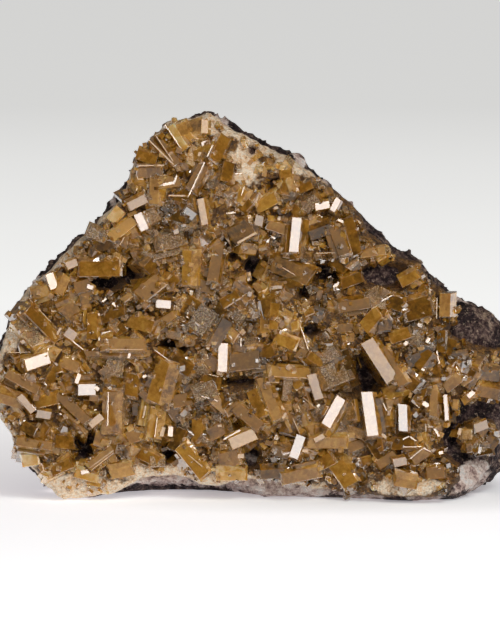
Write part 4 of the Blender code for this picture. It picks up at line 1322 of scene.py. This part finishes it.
def make_crystals(barite, layer):
    """The large crystals of the crust and of the small group, then the crowds between them."""
    dice = random.Random(CRYSTAL_SEED)
    looks = random.Random(LOOK_SEED)
    large = Blocks()
    for crystal in CRYSTALS:
        stand_crystal(large, crystal, dice, looks)
    large = large.to_object("large_crystals", barite)
    dress(large, "barite_crust")

    group = Blocks()
    for crystal in GROUP_CRYSTALS:
        stand_crystal(group, crystal, dice, looks)
    for fill in GROUP_FILLS:
        fill_crystals(group, fill, looks, GROUP_OUTLINE)
    group = group.to_object("group_crystals", barite)
    soften_edges(group, GROUP_EDGE)
    dress(group, "barite_group_right")

    grounds = [large]
    for seed, name, fill in zip(CROWD_SEEDS, ("middle_crystals", "small_crystals", "fine_crystals"), FILLS):
        crowd = Blocks()
        fill_crystals(crowd, fill, random.Random(seed))
        grounds.append(crowd.to_object(name, barite))
        dress(grounds[-1], "barite_crust")
    druse = Blocks()
    druse_crystals(druse, grounds[:3], DRUSE_COUNT, looks)
    dress(druse.to_object("druse", barite), "barite_crust")
    sparks = Blocks()
    spark_crystals(sparks, [*grounds[:3], layer, group], looks)
    dress(sparks.to_object("shining_crystals", barite), "barite_crust")
    soften_edges(large, LARGE_EDGE)


def add_lamp(name, lamp):
    """A square area light that faces the object."""
    data = bpy.data.lights.new(name, "AREA")
    data.shape = "SQUARE"
    data.size = lamp.side
    data.energy = lamp.radiance * math.pi * lamp.side**2
    data.color = lamp.colour
    made = add_object(name, data)
    made.location = lamp_place(lamp)
    made.rotation_euler = (LIT_CENTRE - made.location).to_track_quat("-Z", "Y").to_euler()


def make_light():
    """The lamps, and a faint even light from all around."""
    for name, lamp in LAMPS.items():
        add_lamp(name, lamp)
    world = bpy.data.worlds.new("Studio")
    world.use_nodes = True
    background = world.node_tree.nodes["Background"]
    background.inputs["Color"].default_value = WORLD_COLOUR
    background.inputs["Strength"].default_value = WORLD_RADIANCE
    bpy.context.scene.world = world


def make_floor():
    """A white floor that turns grey far behind the object, with a painted shadow beneath it."""
    mesh = bpy.data.meshes.new("floor")
    corners = [(x * FLOOR_HALF, y * FLOOR_HALF, 0.0) for x, y in ((-1, -1), (1, -1), (1, 1), (-1, 1))]
    mesh.from_pydata(corners, [], [(0, 1, 2, 3)])
    floor = add_object("floor", mesh)
    nodes = Nodes("Floor")
    parts = nodes.add("ShaderNodeSeparateXYZ", {"Vector": nodes.place()})
    # The first stop's pink tint is painted light bounced from the object
    grey = nodes.ramp(nodes.spread(parts.outputs["Y"], 0.0, FLOOR_GREY_END), (
        (0.0, (0.53, 0.505, 0.53, 1.0)),
        (0.37, (0.70, 0.70, 0.70, 1.0)),
        (0.56, (0.67, 0.67, 0.67, 1.0)),
        (0.75, (0.62, 0.62, 0.62, 1.0)),
        (0.93, (0.55, 0.55, 0.55, 1.0)),
    ))  # fmt: skip
    nodes.feed("Base Color", FLOOR_COLOUR)
    nodes.feed("Emission Color", grey)
    inputs = {"Vector": nodes.place(), "Location": PAINTED_SHADOW_MIDDLE, "Scale": PAINTED_SHADOW_HALF_SIZES}
    around = nodes.add("ShaderNodeMapping", inputs, vector_type="TEXTURE").outputs["Vector"]
    beneath = nodes.add("ShaderNodeTexGradient", {"Vector": around}, gradient_type="SPHERICAL")
    # Painted shadow: the floor's glow is dimmed in an oval beneath the object
    nodes.feed("Emission Strength", nodes.spread(beneath.outputs["Fac"], 0.05, 0.6, 1.0, PAINTED_SHADOW_GLOW))
    nodes.feed("Roughness", 0.9)
    mesh.materials.append(nodes.material)


def make_camera():
    """The camera, far away, with the picture's width at the object."""
    data = bpy.data.cameras.new("Camera")
    data.sensor_width = SENSOR
    data.lens = SENSOR * CAMERA_DISTANCE / (PICTURE_ROWS * VIEW_STEP)
    data.clip_end = CAMERA_SIGHT
    camera = add_object("Camera", data)
    camera.location = camera_place()
    camera.rotation_euler = (math.radians(90.0 - CAMERA_RISE), 0.0, 0.0)
    bpy.context.scene.camera = camera


make_rock()
layer_barite = layer_material()
crust_layer = make_layer("barite_layer", LAYER_OUTLINE, layer_barite, "barite_crust")
make_layer("group_layer", GROUP_OUTLINE, layer_barite, "barite_group_right")
make_crystals(barite_material(), crust_layer)
make_light()
make_floor()
make_camera()
bpy.context.scene.view_settings.view_transform = "Standard"
